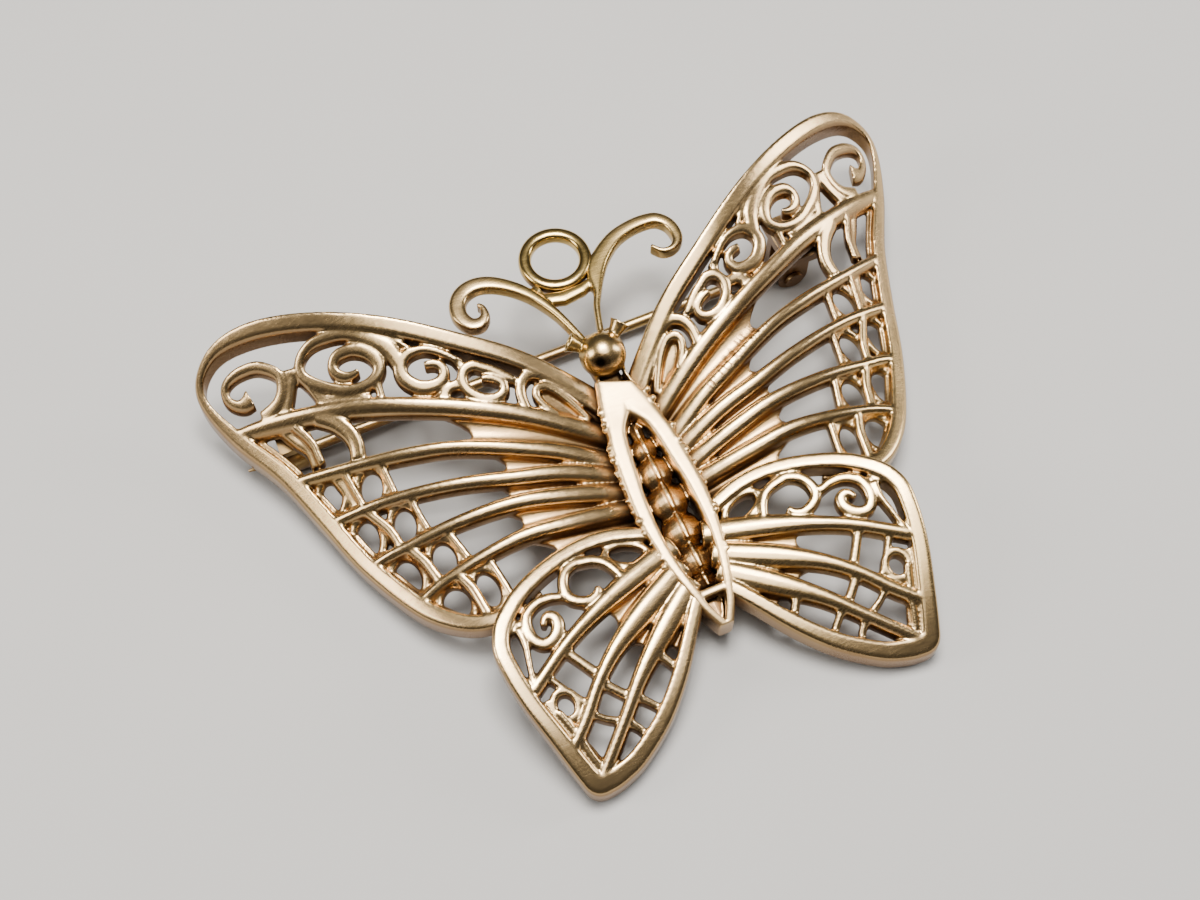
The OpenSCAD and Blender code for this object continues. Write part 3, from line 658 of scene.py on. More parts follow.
def oval(row, grown, width=1.0):
    """A ring of points round an opening, which lies a little outside it."""
    cx, cy, a, b, lean = row
    turned = Matrix.Rotation(math.radians(lean), 2)
    made = []
    for i in range(360 // OVAL_STEP):
        angle = math.radians(i * OVAL_STEP)
        spot = turned @ Vector(((a + grown) * math.cos(angle), (b + grown) * math.sin(angle)))
        made.append([cx + spot.x, cy + spot.y, width])
    return made


def strut(row):
    """A short curved strip through three points, narrower in its middle."""
    x0, y0, x1, y1, x2, y2, width = row
    return smooth([[x0, y0, width], [x1, y1, width * STRUT_WAIST], [x2, y2, width]], STRUT_STEPS)


print("Forewing: veins", len(FORE_VEINS), "scrolls and loops", len(FORE_CURLS), "rings", len(FORE_OVALS))

# %% [markdown]
# ## Webs between the veins
# Near the body the cells are closed by thin sheets that sag between the veins like troughs. A plane
# with a sculpted sag would do, but a formula gives every cell the same clean sheet: a small grid
# between two neighbouring veins, with a top and a bottom, scooped at its outer end like the real one.


# %% Trough sheets
WEB_ROWS, WEB_COLS, WEB_SINK, WEB_THICK = 26, 9, 0.45, 0.6


def trough(low_vein, high_vein, stop, face, sag=0.45, scoop=0.09):
    """A sheet between two veins, from their root to the share stop of their length."""
    top, under = [], []
    for i in range(WEB_ROWS):
        for j in range(WEB_COLS):
            across = j / (WEB_COLS - 1)
            bulge = math.sin(math.pi * across)
            t = (stop - scoop * bulge) * i / (WEB_ROWS - 1)
            a, c = along(low_vein, t), along(high_vein, t)
            x, y = ((p + (q - p) * across) * SHARE for p, q in zip(a[:2], c[:2]))
            level = face(x, y) - WEB_SINK - sag * bulge
            top.append((x, y, level))
            under.append((x, y, level - WEB_THICK))
    size, cols = len(top), WEB_COLS
    faces = []
    for i in range(WEB_ROWS - 1):
        for j in range(cols - 1):
            a = i * cols + j
            faces.append((a, a + 1, a + cols + 1, a + cols))
            faces.append((size + a, size + a + cols, size + a + cols + 1, size + a + 1))
    near, far = range(cols), range(size - 2, size - cols - 1, -1)
    right, left = range(2 * cols - 1, size, cols), range(size - 2 * cols, 0, -cols)
    rim = [*near, *right, *far, *left]
    for a, b in zip(rim, rim[1:] + rim[:1]):
        faces.append((a, b, size + b, size + a))
    mesh = bpy.data.meshes.new("trough")
    mesh.from_pydata(top + under, [], faces)
    return mesh


print("Corners of one web:", 2 * WEB_ROWS * WEB_COLS)

# %% [markdown]
# ## Melt the strips together
# Cast metal has no sharp joins: where a scroll meets a rim there is a small soft fillet. A voxel
# remesh gives exactly that. It is done at millimetre size, because its voxels are counted in scene
# units, then the surface is relaxed a little, thinned, and only then scaled to metres.


# %% Melt strips together
WING_GRAIN, BODY_GRAIN, HEAD_GRAIN = 0.09, 0.085, 0.08
FORE_MOST, HIND_MOST, BODY_MOST, HEAD_MOST = 190000, 120000, 150000, 100000
WING_PASSES, SMALL_PASSES, EASE_SHARE = 4, 2, 0.5


def triangles_of(mesh):
    return sum(len(face.vertices) - 2 for face in mesh.polygons)


def fuse(name, joined, grain, most, passes):
    """Melts a bmesh at a voxel size in mm, relaxes it and thins it to at most so many triangles."""
    mesh = bpy.data.meshes.new(name)
    joined.to_mesh(mesh)
    joined.free()
    piece = bpy.data.objects.new(name, mesh)
    bpy.context.scene.collection.objects.link(piece)
    melt = piece.modifiers.new("melt", "REMESH")
    melt.mode = "VOXEL"
    melt.voxel_size = grain
    ease = piece.modifiers.new("ease", "SMOOTH")
    ease.factor = EASE_SHARE
    ease.iterations = passes
    seen = piece.evaluated_get(bpy.context.evaluated_depsgraph_get())
    count = triangles_of(seen.data)
    if count > most:
        thin = piece.modifiers.new("thin", "DECIMATE")
        thin.ratio = most / count
        seen = piece.evaluated_get(bpy.context.evaluated_depsgraph_get())
    melted = bpy.data.meshes.new_from_object(seen)
    bpy.data.objects.remove(piece)
    bpy.data.meshes.remove(mesh)
    print(name, "melted:", count, "triangles, kept", triangles_of(melted))
    return melted


# %% Finish a melted piece
DEPTH_REACH = 1.9


def place_piece(name, melted, body, nodes, metal, face=None, mirrored=False):
    """Turns a melted mesh in millimetres into a finished piece in metres at its place."""
    mesh = melted.copy()
    mesh.name = name
    below = mesh.attributes.new("below", "FLOAT", "POINT")
    values = []
    for vertex in mesh.vertices:
        x, y, z = vertex.co
        values.append(min(max((face(abs(x), y) - z) / DEPTH_REACH, 0), 1) if face else 0.0)
    below.data.foreach_set("value", values)
    flip = -1 if mirrored else 1
    mesh.transform(Matrix.Diagonal((flip * MM, MM, MM, 1)) @ Matrix.Translation((0, PLAN_SHIFT, 0)))
    if mirrored:
        mesh.flip_normals()
    mesh.shade_smooth()
    mesh.materials.clear()
    mesh.materials.append(metal)
    piece = bpy.data.objects.new(name, mesh)
    bpy.context.scene.collection.objects.link(piece)
    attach(piece, body)
    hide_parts(*nodes)
    return piece


# %% [markdown]
# ## The forewing
# The real wing is cast in one piece, so its strips are built one kind at a time and then melted
# into one mesh. The rim and veins stand highest, the scrolls a little lower, and the webs lowest.

# %% Build the forewing
WEB_TO = [0.50, 0.46, 0.44, 0.42, 0.40]
OVAL_GROWN, OVAL_W, OVAL_DEEP, OVAL_SINK = 1.1, 0.66, 0.95, 0.45
# A low ledge inside the outer rim, and a web that fills the loop at the root
LEDGE_FROM, LEDGE_IN, LEDGE_W, LEDGE_DEEP, LEDGE_SINK = 9, 3.0, 0.5, 0.9, 0.6
ROOT_WEB_HIGH = [[4, 16, 1], [11, 22, 1], [19, 29, 1]]
ROOT_WEB_LOW = [[7, 7, 1], [14, 11.5, 1], [22.5, 16, 1]]
ROOT_WEB_TO, ROOT_WEB_SAG = 0.95, 0.2


def fore_line(rows, width, deep, sink, closed=False):
    return wing_line(rows, width, deep, sink, fore_face, closed)


def forewing_wires():
    scrolls = [fore_line(smooth(r, WIRE_STEPS), SCROLL_W, SCROLL_DEEP, SCROLL_SINK) for r in FORE_CURLS]
    return scrolls + [fore_line(strut(t), SCROLL_W, SCROLL_DEEP, STRUT_SINK) for t in FORE_TIES]


def forewing_arcs():
    arcs = []
    for points, width, sink in FORE_ARCS:
        rows = smooth([[x, y, width] for x, y in points], WIRE_STEPS)
        arcs.append(fore_line(rows, SCROLL_W, SCROLL_DEEP, sink))
    return arcs


def forewing_webs(veins):
    borders = veins + [smooth(FORE_TRAIL, VEIN_STEPS)]
    webs = [trough(low, high, stop, fore_face) for low, high, stop in zip(borders, borders[1:], WEB_TO)]
    high, low = (smooth(rows, RIM_STEPS) for rows in (ROOT_WEB_HIGH, ROOT_WEB_LOW))
    return webs + [trough(high, low, ROOT_WEB_TO, fore_face, ROOT_WEB_SAG, 0)]


def build_forewing():
    veins = [smooth(v, VEIN_STEPS) for v in FORE_VEINS]
    inner = [[x - LEDGE_IN, y, 1] for x, y, w in smooth(FORE_RIM[LEDGE_FROM:], VEIN_STEPS)]
    ovals = [fore_line(oval(o, OVAL_GROWN), OVAL_W, OVAL_DEEP, OVAL_SINK, True) for o in FORE_OVALS]
    meshes = [sweep([fore_line(smooth(FORE_RIM, RIM_STEPS), RIM_W, RIM_DEEP, 0)], RIM_CUT),
              sweep([fore_line(v, VEIN_W, VEIN_DEEP, VEIN_SINK) for v in veins], VEIN_CUT),
              sweep(forewing_wires(), WIRE_CUT),
              sweep(ovals, OVAL_CUT),
              sweep(forewing_arcs(), ARC_CUT),
              sweep([fore_line(inner, LEDGE_W, LEDGE_DEEP, LEDGE_SINK)], LEDGE_CUT)]
    return fuse("forewing", gather(meshes + forewing_webs(veins)), WING_GRAIN, FORE_MOST, WING_PASSES)


forewing = build_forewing()

# %% [markdown]
# ## Lines of the hindwing
# The hindwing is a drop with a broad tail. Three strong veins fan out to its margin, cross bars
# make small windows between them, and two hooks and a tear-shaped loop fill the front. Its lines
# could be traced over a picture by hand. Tables in the same shares as the forewing's keep both
# wings one drawing, which can be read and changed point by point.

# %% Hindwing: rim and veins
HIND_RIM = [[7, -23, 0.9], [18.5, -19.5, 1], [30, -20, 1], [42.5, -24.5, 1.05], [50.5, -30.5, 1.1],
            [54, -36.5, 1.1], [54, -43, 1.1], [52.5, -51.5, 1.1], [49.5, -61.5, 1.15],
            [46.6, -70.6, 1.2], [45, -73.5, 1.3], [42, -73.9, 1.2], [38.2, -73.2, 1.15],
            [32.5, -71, 1.1]]
HIND_BACK = [[32.5, -71, 1.1], [23.5, -65, 1.05], [15.5, -57, 1], [8.5, -48, 0.9], [3, -41, 0.9]]
HIND_VEINS = [
    [[4, -27.3, 1.7], [19, -32.2, 1.6], [31, -37.2, 1.15], [40.5, -42.2, 1], [50.8, -49, 1]],
    [[4, -33, 1.7], [17.5, -40, 1.7], [28, -46.3, 1.2], [35.5, -52.6, 1], [42, -59.6, 1], [48, -65, 0.9]],
    [[3.5, -37.5, 1.7], [14, -45.5, 1.7], [24.5, -54, 1.2], [33.2, -62.8, 1], [43.5, -73, 1]]]

# %% Hindwing: hooks, loop and struts
HIND_CURLS = [
    [[35.4, -30.1, 0.9], [38.7, -29.2, 1], [41.7, -29.4, 1.05], [44, -30.4, 1.1], [45.8, -32.2, 1.15],
     [46.5, -35.1, 1.2], [46, -37.7, 1.2], [44.4, -39.4, 1.2], [42.3, -39.4, 1.2], [40.2, -38.1, 1.25],
     [39, -36.1, 1.3], [39.2, -34.2, 1.2], [40.5, -33.4, 1], [41.8, -34, 0.8], [42.5, -35.6, 0.6]],
    [[19.6, -30.5, 0.9], [20.8, -27.4, 1], [22.3, -25.3, 1], [24.2, -24, 1.05], [26.8, -23.3, 1.1],
     [29.4, -23.1, 1.1], [31.8, -24.2, 1.1], [33.4, -26.1, 1.1], [34.2, -28.7, 1.15], [33.7, -31.1, 1.15],
     [31.7, -32.7, 1.1], [29.3, -33.3, 1], [27.1, -32.5, 0.9], [26.1, -30.9, 0.7]],
    [[48.5, -34, 0.9], [48.4, -38, 0.7], [49.2, -42, 0.6], [50, -46, 0.6], [50.6, -49, 0.8]]]
HIND_RINGS = [[15.9, -25.5, 4.7, 2.3, 21], [45, -54.6, 2.2, 2.6, 0]]
HIND_TIES = [[31.1, -33.2, 29.3, -34.4, 27.2, -36, 1], [39.3, -38.2, 38.6, -39.4, 37.4, -41, 1],
             [46.5, -33, 48.8, -33.2, 51.5, -33.5, 1.2], [20.8, -23.6, 21.8, -24.2, 22.8, -25, 1],
             [28, -23.2, 28.5, -21.8, 29, -20.4, 1], [34.3, -29.2, 34.9, -29.8, 36, -30, 1]]

# %% Hindwing: tail corner and cross bars
# The flat corner of the tail and its bright inner edge: out, up, width share
TAIL_PLATE = [[49, -52, 0.6], [48, -57.5, 1.1], [47, -62.5, 1.6], [45.6, -67.5, 1.9], [44.3, -71, 1.7]]
TAIL_EDGE = [[47.3, -55.5, 0.5], [44.9, -62.6, 0.5], [44, -66.5, 0.5], [42.9, -70.2, 0.5]]
HIND_BARS = [[40.8, -41.3, 38, -45.7, 34.3, -51.2, 1.1], [46.3, -47.2, 43.2, -51.8, 39.2, -57, 0.8],
             [35.2, -52, 32.4, -55.2, 28.6, -59, 1.1], [40.9, -57.6, 37.4, -60.5, 33.4, -62.6, 0.8],
             [28.4, -58.2, 25.3, -61.2, 22.2, -64.5, 0.9], [33, -62.6, 30.4, -65.4, 28.4, -69, 0.9],
             [19.8, -50, 17.6, -53.1, 15.2, -57, 1]]


# %% Build the hindwing
HIND_WEB_TO = 0.44
RING_GROWN, RING_W = 0.8, 0.6
BAR_SINK, PLATE_DEEP, PLATE_SINK, EDGE_SINK = 0.25, 0.9, 0.3, 0.15


def hind_line(rows, width, deep, sink, closed=False):
    return wing_line(rows, width, deep, sink, hind_face, closed)


def hindwing_wires():
    wires = [hind_line(smooth(r, WIRE_STEPS), SCROLL_W, SCROLL_DEEP, SCROLL_SINK) for r in HIND_CURLS]
    wires += [hind_line(strut(t), SCROLL_W, SCROLL_DEEP, STRUT_SINK) for t in HIND_TIES]
    wires += [hind_line(strut(b), SCROLL_W, SCROLL_DEEP, BAR_SINK) for b in HIND_BARS]
    wires += [hind_line(oval(r, RING_GROWN), RING_W, SCROLL_DEEP, BAR_SINK, True) for r in HIND_RINGS]
    return wires + [hind_line(smooth(TAIL_PLATE, WIRE_STEPS), VEIN_W, PLATE_DEEP, PLATE_SINK),
                    hind_line(smooth(TAIL_EDGE, WIRE_STEPS), VEIN_W, PLATE_DEEP, EDGE_SINK)]


def build_hindwing():
    veins = [smooth(v, VEIN_STEPS) for v in HIND_VEINS]
    outline = smooth(HIND_RIM + HIND_BACK[1:], RIM_STEPS)
    meshes = [sweep([hind_line(outline, HIND_RIM_W, RIM_DEEP, 0)], RIM_CUT),
              sweep([hind_line(v, VEIN_W, VEIN_DEEP, VEIN_SINK) for v in veins], VEIN_CUT),
              sweep(hindwing_wires(), WIRE_CUT)]
    borders = veins + [smooth(HIND_BACK, RIM_STEPS)[::-1]]
    meshes += [trough(low, high, HIND_WEB_TO, hind_face) for low, high in zip(borders, borders[1:])]
    return fuse("hindwing", gather(meshes), WING_GRAIN, HIND_MOST, WING_PASSES)


hindwing = build_hindwing()

# %% [markdown]
# ## Solder beads
# Along both edges of the body the solder that holds the wings has run out in small beads. They
# repeat along a line and no two are alike, which is work for a tree: points on the line, a small
# ball on each, and a random size and stray from a fixed seed, so each run gives the same beads.

# %% Geometry Nodes tree: solder beads along an edge
STRAY_LOW, STRAY_HIGH = (-0.12, -0.12, -0.25), (0.12, 0.12, 0.1)
BEAD_SEGMENTS, BEAD_RINGS = 10, 8


def bead_tree():
    t = Tree("solder_beads", [("Count", "Int", 40), ("Smallest", "Float", 0.1), ("Largest", "Float", 0.25),
                              ("Seed", "Int", 1), ("Metal", "Material", None)])
    seed = t.start["Seed"]
    line = t.add("GeometryNodeMeshToCurve", {0: t.start["Geometry"]})
    spots = t.add("GeometryNodeCurveToPoints", {"Curve": line[0], "Count": t.start["Count"]}, mode="COUNT")
    size = t.add("FunctionNodeRandomValue", {2: t.start["Smallest"], 3: t.start["Largest"], "Seed": seed},
                 data_type="FLOAT")
    stray = t.add("FunctionNodeRandomValue", {0: STRAY_LOW, 1: STRAY_HIGH, "Seed": seed},
                  data_type="FLOAT_VECTOR")
    moved = t.add("GeometryNodeSetPosition", {"Geometry": spots[0], "Offset": stray[0]})
    bead = t.add("GeometryNodeMeshUVSphere", {"Segments": BEAD_SEGMENTS, "Rings": BEAD_RINGS, "Radius": 1.0})
    grown = t.add("GeometryNodeInstanceOnPoints", {"Points": moved[0], "Instance": bead[0], "Scale": size[1]})
    return t.finish(grown[0])


BEADS = bead_tree()


def beads(spots, count, smallest, largest, seed):
    mesh = bpy.data.meshes.new("edge")
    mesh.from_pydata(spots, [(i, i + 1) for i in range(len(spots) - 1)], [])
    return run_tree(BEADS, mesh, {"Count": count, "Smallest": smallest, "Largest": largest, "Seed": seed,
                                  "Metal": gold})


print("Bead tree:", len(BEADS.nodes), "nodes")

# %% [markdown]
# ## The body frame
# The body is a long boat-shaped frame with a pointed slot, made of two flat rails that meet at
# head and tail. One table gives the outer edge, the slot, the height and the depth, and both rails
# are swept from it, so the frame stays even on both sides.

# %% Lines in millimetres and the body rails
PLATE_CUT, BONE_CUT, RIDGE_CUT = (18, 5.0), (12, 3.0), (10, 2.0)
# Along Y, half width, half width of the slot, height of the top, wall depth, in mm
BODY_ROWS = [[4.5, 1.3, -0.7, 6.35, 1.7], [4.1, 1.38, -0.7, 6.3, 1.7], [3.2, 1.68, -0.6, 6.15, 1.8],
             [2.3, 1.9, -0.2, 6, 1.9], [1.2, 2.05, 0.6, 5.9, 2.1], [0, 2.3, 0.9, 5.75, 2.2],
             [-2, 2.5, 1.15, 5.45, 2.4], [-3.6, 2.6, 1.36, 5.25, 2.5], [-5.2, 2.6, 1.45, 5.05, 2.6],
             [-7, 2.4, 1.45, 4.85, 2.6], [-8.75, 2.1, 1.25, 4.6, 2.6], [-10.4, 1.65, 0.9, 4.35, 2.6],
             [-11.9, 1.15, 0.5, 3.95, 2.4], [-13.2, 0.5, -0.2, 3.5, 2.1]]
# The head end is cut off a little aslant, from this place on
HEAD_LEAN, LEAN_FROM = 0.19, 2.3
BODY_STEPS = 5


def free_line(points, closed=False):
    """points: place, half width, depth, all in mm and level in the plan."""
    made = []
    count = len(points)
    for i, (spot, half, deep) in enumerate(points):
        before = points[i - 1 if closed else max(i - 1, 0)][0]
        after = points[(i + 1) % count if closed else min(i + 1, count - 1)][0]
        way = (after - before).normalized()
        made.append((spot, UP.cross(way).normalized() * half, UP, deep))
    return made, closed


def straight(rows):
    """rows: along Y, height of the top, half width, depth, on the brooch's middle line."""
    return free_line([(Vector((0, y, z)), half, deep) for y, z, half, deep in rows])


def body_rails():
    rails = []
    for sign in (-1, 1):
        points = []
        for y, outer, inner, top, deep in smooth(BODY_ROWS, BODY_STEPS):
            across = Vector((1, -HEAD_LEAN * max(y - LEAN_FROM, 0), 0))
            spot = Vector((0, y, top)) + across * sign * (outer + inner) / 2
            points.append((spot, across * (outer - inner) / 2, UP, deep))
        rails.append((points, False))
    return rails


def body_face(x, y):
    """Height of the top of the body frame, for the depth attribute."""
    for upper, lower in zip(BODY_ROWS, BODY_ROWS[1:]):
        if y >= lower[0]:
            t = min(max((upper[0] - y) / (upper[0] - lower[0]), 0), 1)
            return upper[3] + (lower[3] - upper[3]) * t
    return BODY_ROWS[-1][3]


print("Body frame, mm long:", round(BODY_ROWS[0][0] - BODY_ROWS[-1][0], 1))

# %% [markdown]
# ## The abdomen
# Inside the slot seven faceted barrels stand for the abdomen, each with a ridge along its top. They
# could be one lathe shape, but the real ones are six-sided and end sharply, so each is built from
# a few hoops of six corners. A keel below joins them to the frame.

# %% Abdomen barrels and their ridges
# Along Y, length, radius, height of the axis, in mm
BARRELS = [[1.0, 1.3, 0.55, 4.7], [-0.2, 1.6, 0.95, 4.3], [-1.9, 2.2, 1.3, 3.85], [-4.0, 2.4, 1.5, 3.4],
           [-6.2, 2.3, 1.5, 3.15], [-8.3, 2.1, 1.3, 2.95], [-9.8, 1.4, 0.9, 2.8]]
BARREL_SIDES, BARREL_STEPS = 6, 6
BARREL_WAIST, BARREL_SWELL = 0.66, 0.6
RIDGE_REACH, RIDGE_RISE, RIDGE_SINK = 0.42, 0.12, 0.02
# Half width and depth of a ridge at its ends and in its middle
RIDGE_END, RIDGE_MIDDLE = (0.12, 0.5), (0.2, 0.6)


def barrel(row):
    y, length, radius, height = row
    part = bmesh.new()
    hoops = []
    for k in range(BARREL_STEPS + 1):
        t = k / BARREL_STEPS
        r = radius * (BARREL_WAIST + (1 - BARREL_WAIST) * math.sin(math.pi * t) ** BARREL_SWELL)
        hoop = []
        for i in range(BARREL_SIDES):
            angle = 2 * math.pi * (i + 0.5) / BARREL_SIDES
            spot = (r * math.cos(angle), y + length * (t - 0.5), height + r * math.sin(angle))
            hoop.append(part.verts.new(spot))
        hoops.append(hoop)
    for a, b in zip(hoops, hoops[1:]):
        for i in range(BARREL_SIDES):
            k = (i + 1) % BARREL_SIDES
            part.faces.new((a[i], a[k], b[k], b[i]))
    part.faces.new(hoops[0])
    part.faces.new(hoops[-1])
    return mesh_of(part, "barrel")


def ridge(row):
    y, length, radius, height = row
    top, reach = radius + height - RIDGE_SINK, length * RIDGE_REACH
    (end_w, end_deep), (mid_w, mid_deep) = RIDGE_END, RIDGE_MIDDLE
    return straight([[y + reach, top, end_w, end_deep], [y, top + RIDGE_RISE, mid_w, mid_deep],
                     [y - reach, top, end_w, end_deep]])


print("Abdomen:", len(BARRELS), "barrels")

# %% Build the body
# The bridge over the tail: half length, place along Y, height of the top, half width, depth
BRIDGE_X, BRIDGE_Y, BRIDGE_H, BRIDGE_W, BRIDGE_DEEP = 0.9, -10.95, 4.15, 0.28, 0.9
# Hull and keel under the slot: along Y, height of the top, half width, depth
HULL = [[-9.2, 3.0, 1.1, 0.9], [-10.8, 2.6, 1.0, 0.9], [-12.6, 2.3, 0.5, 0.9]]
KEEL = [[2.4, 4.8, 0.4, 0.9], [-1, 4.2, 0.4, 0.9], [-5, 3.7, 0.4, 0.9], [-9.4, 3.3, 0.4, 0.9]]
BEAD_COUNT, BEAD_LEAST, BEAD_MOST, BEAD_SEED = 30, 0.04, 0.3, 11
# The beads lie a little inside the edge and below it, on all rows but those of the two ends
BEAD_IN, BEAD_DOWN, BEAD_ROWS = 0.02, 0.2, BODY_ROWS[2:-3]


def body_beads(sign):
    edge = [Vector((sign * (outer - BEAD_IN), y, top - BEAD_DOWN))
            for y, outer, inner, top, deep in smooth(BEAD_ROWS, BODY_STEPS)]
    return beads(edge, BEAD_COUNT, BEAD_LEAST, BEAD_MOST, BEAD_SEED + sign)


def build_body():
    bridge = free_line([(Vector((x, BRIDGE_Y, BRIDGE_H)), BRIDGE_W, BRIDGE_DEEP)
                        for x in (-BRIDGE_X, 0, BRIDGE_X)])
    meshes = [sweep(body_rails() + [bridge], PLATE_CUT), sweep([straight(HULL), straight(KEEL)], BONE_CUT),
              sweep([ridge(row) for row in BARRELS], RIDGE_CUT)]
    meshes += [barrel(row) for row in BARRELS] + [body_beads(sign) for sign in (-1, 1)]
    return fuse("body", gather(meshes), BODY_GRAIN, BODY_MOST, SMALL_PASSES)


body = build_body()

# %% [markdown]
# ## Head and eye horns
# The head is a solid ball. Each eye is a short horn with a hollow mouth, which a goldsmith turns or
# draws from tube. A horn is round about its own line, so its profile is turned round an axis, and
# the profile runs in and out again to give the mouth its wall.

# %% Ball and turned horns
HEAD_Y, HEAD_H, HEAD_R = 6.5, 6.6, 1.6
BALL_SEGMENTS, BALL_RINGS, TURN_STEPS = 32, 20, 20
HORN_OUT, HORN_FORWARD, HORN_RISE = 1.0, 0.75, 0.35
HORN_WAY = (0.8, 0.6, 0.35)
# Profile of a horn: radius, along its axis, in mm
HORN = [[0.02, -0.4], [0.42, -0.4], [0.42, 0.3], [0.56, 0.85], [0.72, 1.2], [0.5, 1.2], [0.28, 0.65],
        [0.02, 0.55]]


def head_ball():
    part = bmesh.new()
    bmesh.ops.create_uvsphere(part, u_segments=BALL_SEGMENTS, v_segments=BALL_RINGS, radius=1)
    part.transform(Matrix.Translation((0, HEAD_Y, HEAD_H)) @ Matrix.Diagonal((HEAD_R, HEAD_R, HEAD_R, 1)))
    return mesh_of(part, "ball")


def horn(sign):
    """The eye horn of one side, turned round its own leaning axis."""
    way = Vector((sign * HORN_WAY[0], HORN_WAY[1], HORN_WAY[2]))
    place = Vector((sign * HORN_OUT, HEAD_Y + HORN_FORWARD, HEAD_H + HORN_RISE))
    part = bmesh.new()
    hoops = []
    for i in range(TURN_STEPS):
        angle = 2 * math.pi * i / TURN_STEPS
        hoops.append([part.verts.new((r * math.cos(angle), r * math.sin(angle), rise)) for r, rise in HORN])
    for i in range(TURN_STEPS):
        here, there = hoops[i], hoops[(i + 1) % TURN_STEPS]
        for j in range(len(HORN)):
            k = (j + 1) % len(HORN)
            part.faces.new((here[j], there[j], there[k], here[k]))
    part.transform(Matrix.Translation(place) @ UP.rotation_difference(way).to_matrix().to_4x4())
    return mesh_of(part, "horn")


print("Head ball, mm:", 2 * HEAD_R)

# %% [markdown]
# ## Antennae
# Two flat wires leave the head, roll back round the ring and carry it on small solder strips. Each
# was rolled by hand and they are not alike, so each has its own table and neither is mirrored.

# %% Antennae and the solder under the ring
# Out, up in shares, width in mm
FEELERS = {
    -1: [[3.1, 30, 0.5], [5.8, 39.3, 0.6], [8.7, 45.7, 0.75], [11.3, 49.8, 0.9], [14.6, 53.3, 1.0],
         [18.6, 56.1, 1.1], [22.7, 57.2, 1.15], [26.5, 56.2, 1.2], [28.9, 53.6, 1.2], [29.6, 49.9, 1.15],
         [28.1, 46.6, 1.05], [25.6, 45.8, 0.95], [23.6, 47.3, 0.7], [23.3, 49.8, 0.45], [24.2, 51.2, 0.25]],
    1: [[1.8, 30, 0.45], [4.2, 38.1, 0.5], [6.2, 42.3, 0.6], [8.3, 48.3, 1.35], [11.5, 52.1, 1.3],
        [16.4, 55.7, 1.15], [21, 57.3, 1.05], [25.7, 57.8, 1], [29.7, 57.1, 0.95], [32.2, 54.3, 0.9],
        [32.8, 50.6, 0.85], [31.9, 48, 0.7], [29.6, 46.6, 0.5], [27, 47, 0.4], [24.9, 49.4, 0.3]]}
FEELER_H, FEELER_DEEP, FEELER_STEPS = 6.1, 1.1, 6
# Solder strips under the ring: out, up in shares, half width in mm
YOKES = [[[-11.5, 49.5, 0.3], [-7, 45.8, 0.5], [-2.5, 44.6, 0.55], [3, 45, 0.45], [7.3, 46.5, 0.3]],
         [[-9.5, 48.5, 0.5], [-7.2, 49, 0.6]], [[7.6, 50.5, 0.45], [9, 52, 0.4]]]
YOKE_TOP, YOKE_DEEP = 7.05, 0.8
FEELER_CUT, NECK_CUT, CHEEK_CUT = (16, 3.6), (16, 4.0), (10, 3.0)


def feeler(sign):
    return free_line([(Vector((sign * x * SHARE, y * SHARE, FEELER_H + FEELER_DEEP)), w / 2, FEELER_DEEP)
                      for x, y, w in smooth(FEELERS[sign], FEELER_STEPS)])


def yoke(rows):
    return free_line([(Vector((x * SHARE, y * SHARE, YOKE_TOP)), w, YOKE_DEEP) for x, y, w in rows])


print("Antenna points:", [len(table) for table in FEELERS.values()])

# %% Build the head
# The neck: along Y, height of the top, half width, depth
NECK = [[3.5, 5.4, 0.8, 1.4], [4.6, 5.3, 0.8, 1.3], [5.8, 5.8, 0.8, 1.2]]
# A cheek beside it: out, along Y, height of the top, half width, depth
CHEEK = [[1.15, 4.1, 6.0, 0.14, 1.2], [0.95, 5.0, 6.2, 0.12, 1.1], [1.15, 6.0, 6.7, 0.12, 1.0]]


def cheek(sign):
    return free_line([(Vector((sign * x, y, z)), half, deep) for x, y, z, half, deep in CHEEK])


def build_head():
    meshes = [sweep([feeler(sign) for sign in FEELERS], FEELER_CUT),
              sweep([yoke(rows) for rows in YOKES], BONE_CUT),
              sweep([straight(NECK)], NECK_CUT),
              sweep([cheek(sign) for sign in (-1, 1)], CHEEK_CUT),
              head_ball(), horn(-1), horn(1)]
    return fuse("head", gather(meshes), HEAD_GRAIN, HEAD_MOST, SMALL_PASSES)


head = build_head()

# %% [markdown]
# ## The ring
# The ring is a plain hoop of heavy wire, soldered between the antennae. It is swept round a circle
# by the same tree, finer and softer in section than the solid ring of the frame, which it covers.

# %% Build the ring
RING_Y, RING_OUT, RING_IN, RING_TOP, RING_DEEP = 14.6, 2.55, 1.65, 7.2, 1.0
RING_POINTS, RING_CUT = 96, (28, 2.7)


def build_ring():
    middle, half = (RING_OUT + RING_IN) / 2, (RING_OUT - RING_IN) / 2
    points = []
    for i in range(RING_POINTS):
        angle = 2 * math.pi * i / RING_POINTS
        spot = Vector((middle * math.cos(angle), RING_Y + middle * math.sin(angle), RING_TOP))
        points.append((spot, half, RING_DEEP))
    return sweep([free_line(points, True)], RING_CUT, "ring")


ring = build_ring()
print("Ring corners:", len(ring.vertices))

# %% [markdown]
# ## Put the pieces on the brooch
# The wings are mirror castings, so the melted mesh of one side serves both. Wings, body and head
# ride on the brooch body of the frame and stand for its soldered butterfly, and the ring stands for
# its ring. Hinge block, rivet, pin and catch stay as the frame gives them, in drawn gold that is
# painted with the strongest shade.

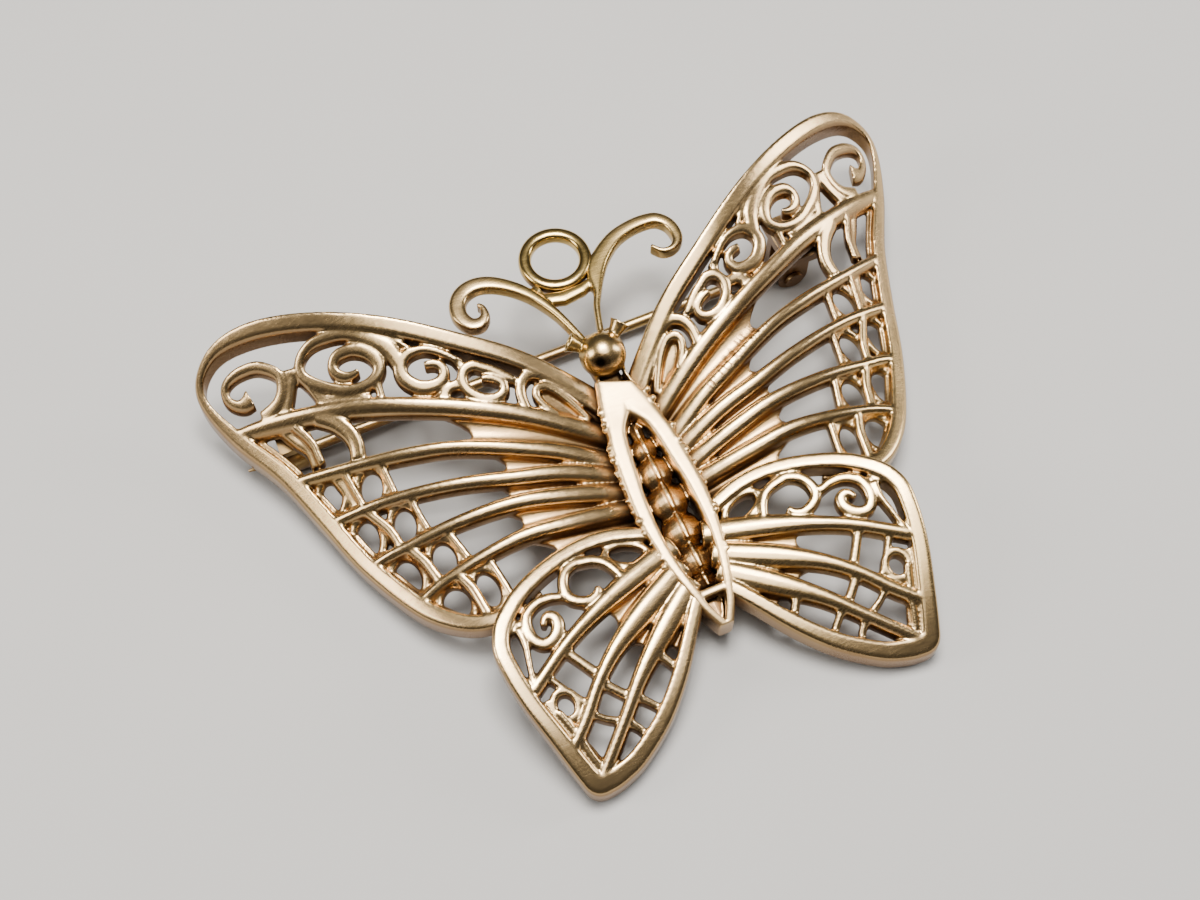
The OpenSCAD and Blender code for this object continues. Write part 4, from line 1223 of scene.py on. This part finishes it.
# %% Finished pieces
made = [place_piece("forewing_right", forewing, "brooch", ["butterfly"], filed_gold, fore_face),
        place_piece("forewing_left", forewing, "brooch", ["butterfly"], gold, fore_face, True),
        place_piece("hindwing_right", hindwing, "brooch", ["butterfly"], gold, hind_face),
        place_piece("hindwing_left", hindwing, "brooch", ["butterfly"], gold, hind_face, True),
        place_piece("body_frame", body, "brooch", ["butterfly"], body_gold, body_face),
        place_piece("head", head, "brooch", ["butterfly"], head_gold),
        place_piece("ring", ring, "brooch", ["bail_ring"], ring_gold)]
print("Pieces:", [piece.name for piece in made])

# %% Finish of the findings
FINDINGS = ("hinge_block", "hinge_rivet", "pin_stem", "catch")
for node in FINDINGS:
    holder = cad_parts[node]
    for kept in holder.material_slots:
        kept.material = drawn_gold
    if not holder.material_slots:
        holder.data.materials.append(drawn_gold)
    print(node, "slots:", len(holder.material_slots))

# %% [markdown]
# ## Floor and light
# Metal shows what stands round it, so the floor is plain and pale. A small soft light hangs behind
# the head, a wide one over the whole, and two weak ones stand low at the sides. The rims then catch
# a broad bright band, and the walls fall into warm shade.

# %% Floor
FLOOR_REACH = 0.6
PAPER_PALE, PAPER_GREY = (0.50, 0.495, 0.49), (0.45, 0.445, 0.44)
PAPER_SCALE, PAPER_UNEVEN, PAPER_ROUGH = 60.0, 0.5, 0.8


def add_floor():
    mesh = bpy.data.meshes.new("floor")
    corners = [(x * FLOOR_REACH, y * FLOOR_REACH, 0) for x, y in ((-1, -1), (1, -1), (1, 1), (-1, 1))]
    mesh.from_pydata(corners, [], [(0, 1, 2, 3)])
    floor = bpy.data.objects.new("floor", mesh)
    bpy.context.scene.collection.objects.link(floor)
    p = Paint("floor_paper")
    spot = p.node("ShaderNodeTexCoord", {}, {}, "Object")
    tone = p.mix(p.noise(spot, PAPER_SCALE) * PAPER_UNEVEN, PAPER_PALE, PAPER_GREY)
    shader = p.node("ShaderNodeBsdfPrincipled", {}, {"Base Color": tone, "Roughness": PAPER_ROUGH})
    p.node("ShaderNodeOutputMaterial", {}, {"Surface": shader})
    mesh.materials.append(p.material)
    return floor


floor = add_floor()
print("Floor, m:", 2 * FLOOR_REACH)

# %% Lights and world
# Name, place, size, watts, colour
LIGHTS = [("top", (0.01, 0.04, 0.26), (0.11, 0.09), 1.15, (1.0, 0.96, 0.9)),
          ("wide", (0.0, -0.02, 0.42), (0.30, 0.30), 1.25, (1.0, 0.97, 0.92)),
          ("left", (-0.2, 0.05, 0.12), (0.08, 0.10), 0.25, (1.0, 0.95, 0.88)),
          ("right", (0.22, -0.02, 0.10), (0.05, 0.12), 0.22, (1.0, 0.97, 0.94))]
LIGHT_AIM = Vector((0, 0, 0.004))
WORLD_STRENGTH, WORLD_COLOUR = 0.05, (0.9, 0.88, 0.86)


def add_light(name, place, size, watts, colour):
    data = bpy.data.lights.new(name, "AREA")
    data.shape = "RECTANGLE"
    data.size, data.size_y = size
    data.energy = watts
    data.color = colour
    light = bpy.data.objects.new(name, data)
    light.location = place
    light.rotation_euler = (LIGHT_AIM - Vector(place)).to_track_quat("-Z", "Y").to_euler()
    bpy.context.scene.collection.objects.link(light)


def add_world(strength, colour):
    world = bpy.data.worlds.new("studio")
    world.use_nodes = True
    world.node_tree.nodes["Background"].inputs["Color"].default_value = (*colour, 1)
    world.node_tree.nodes["Background"].inputs["Strength"].default_value = strength
    bpy.context.scene.world = world


for row in LIGHTS:
    add_light(*row)
add_world(WORLD_STRENGTH, WORLD_COLOUR)
print("Lights:", [row[0] for row in LIGHTS])
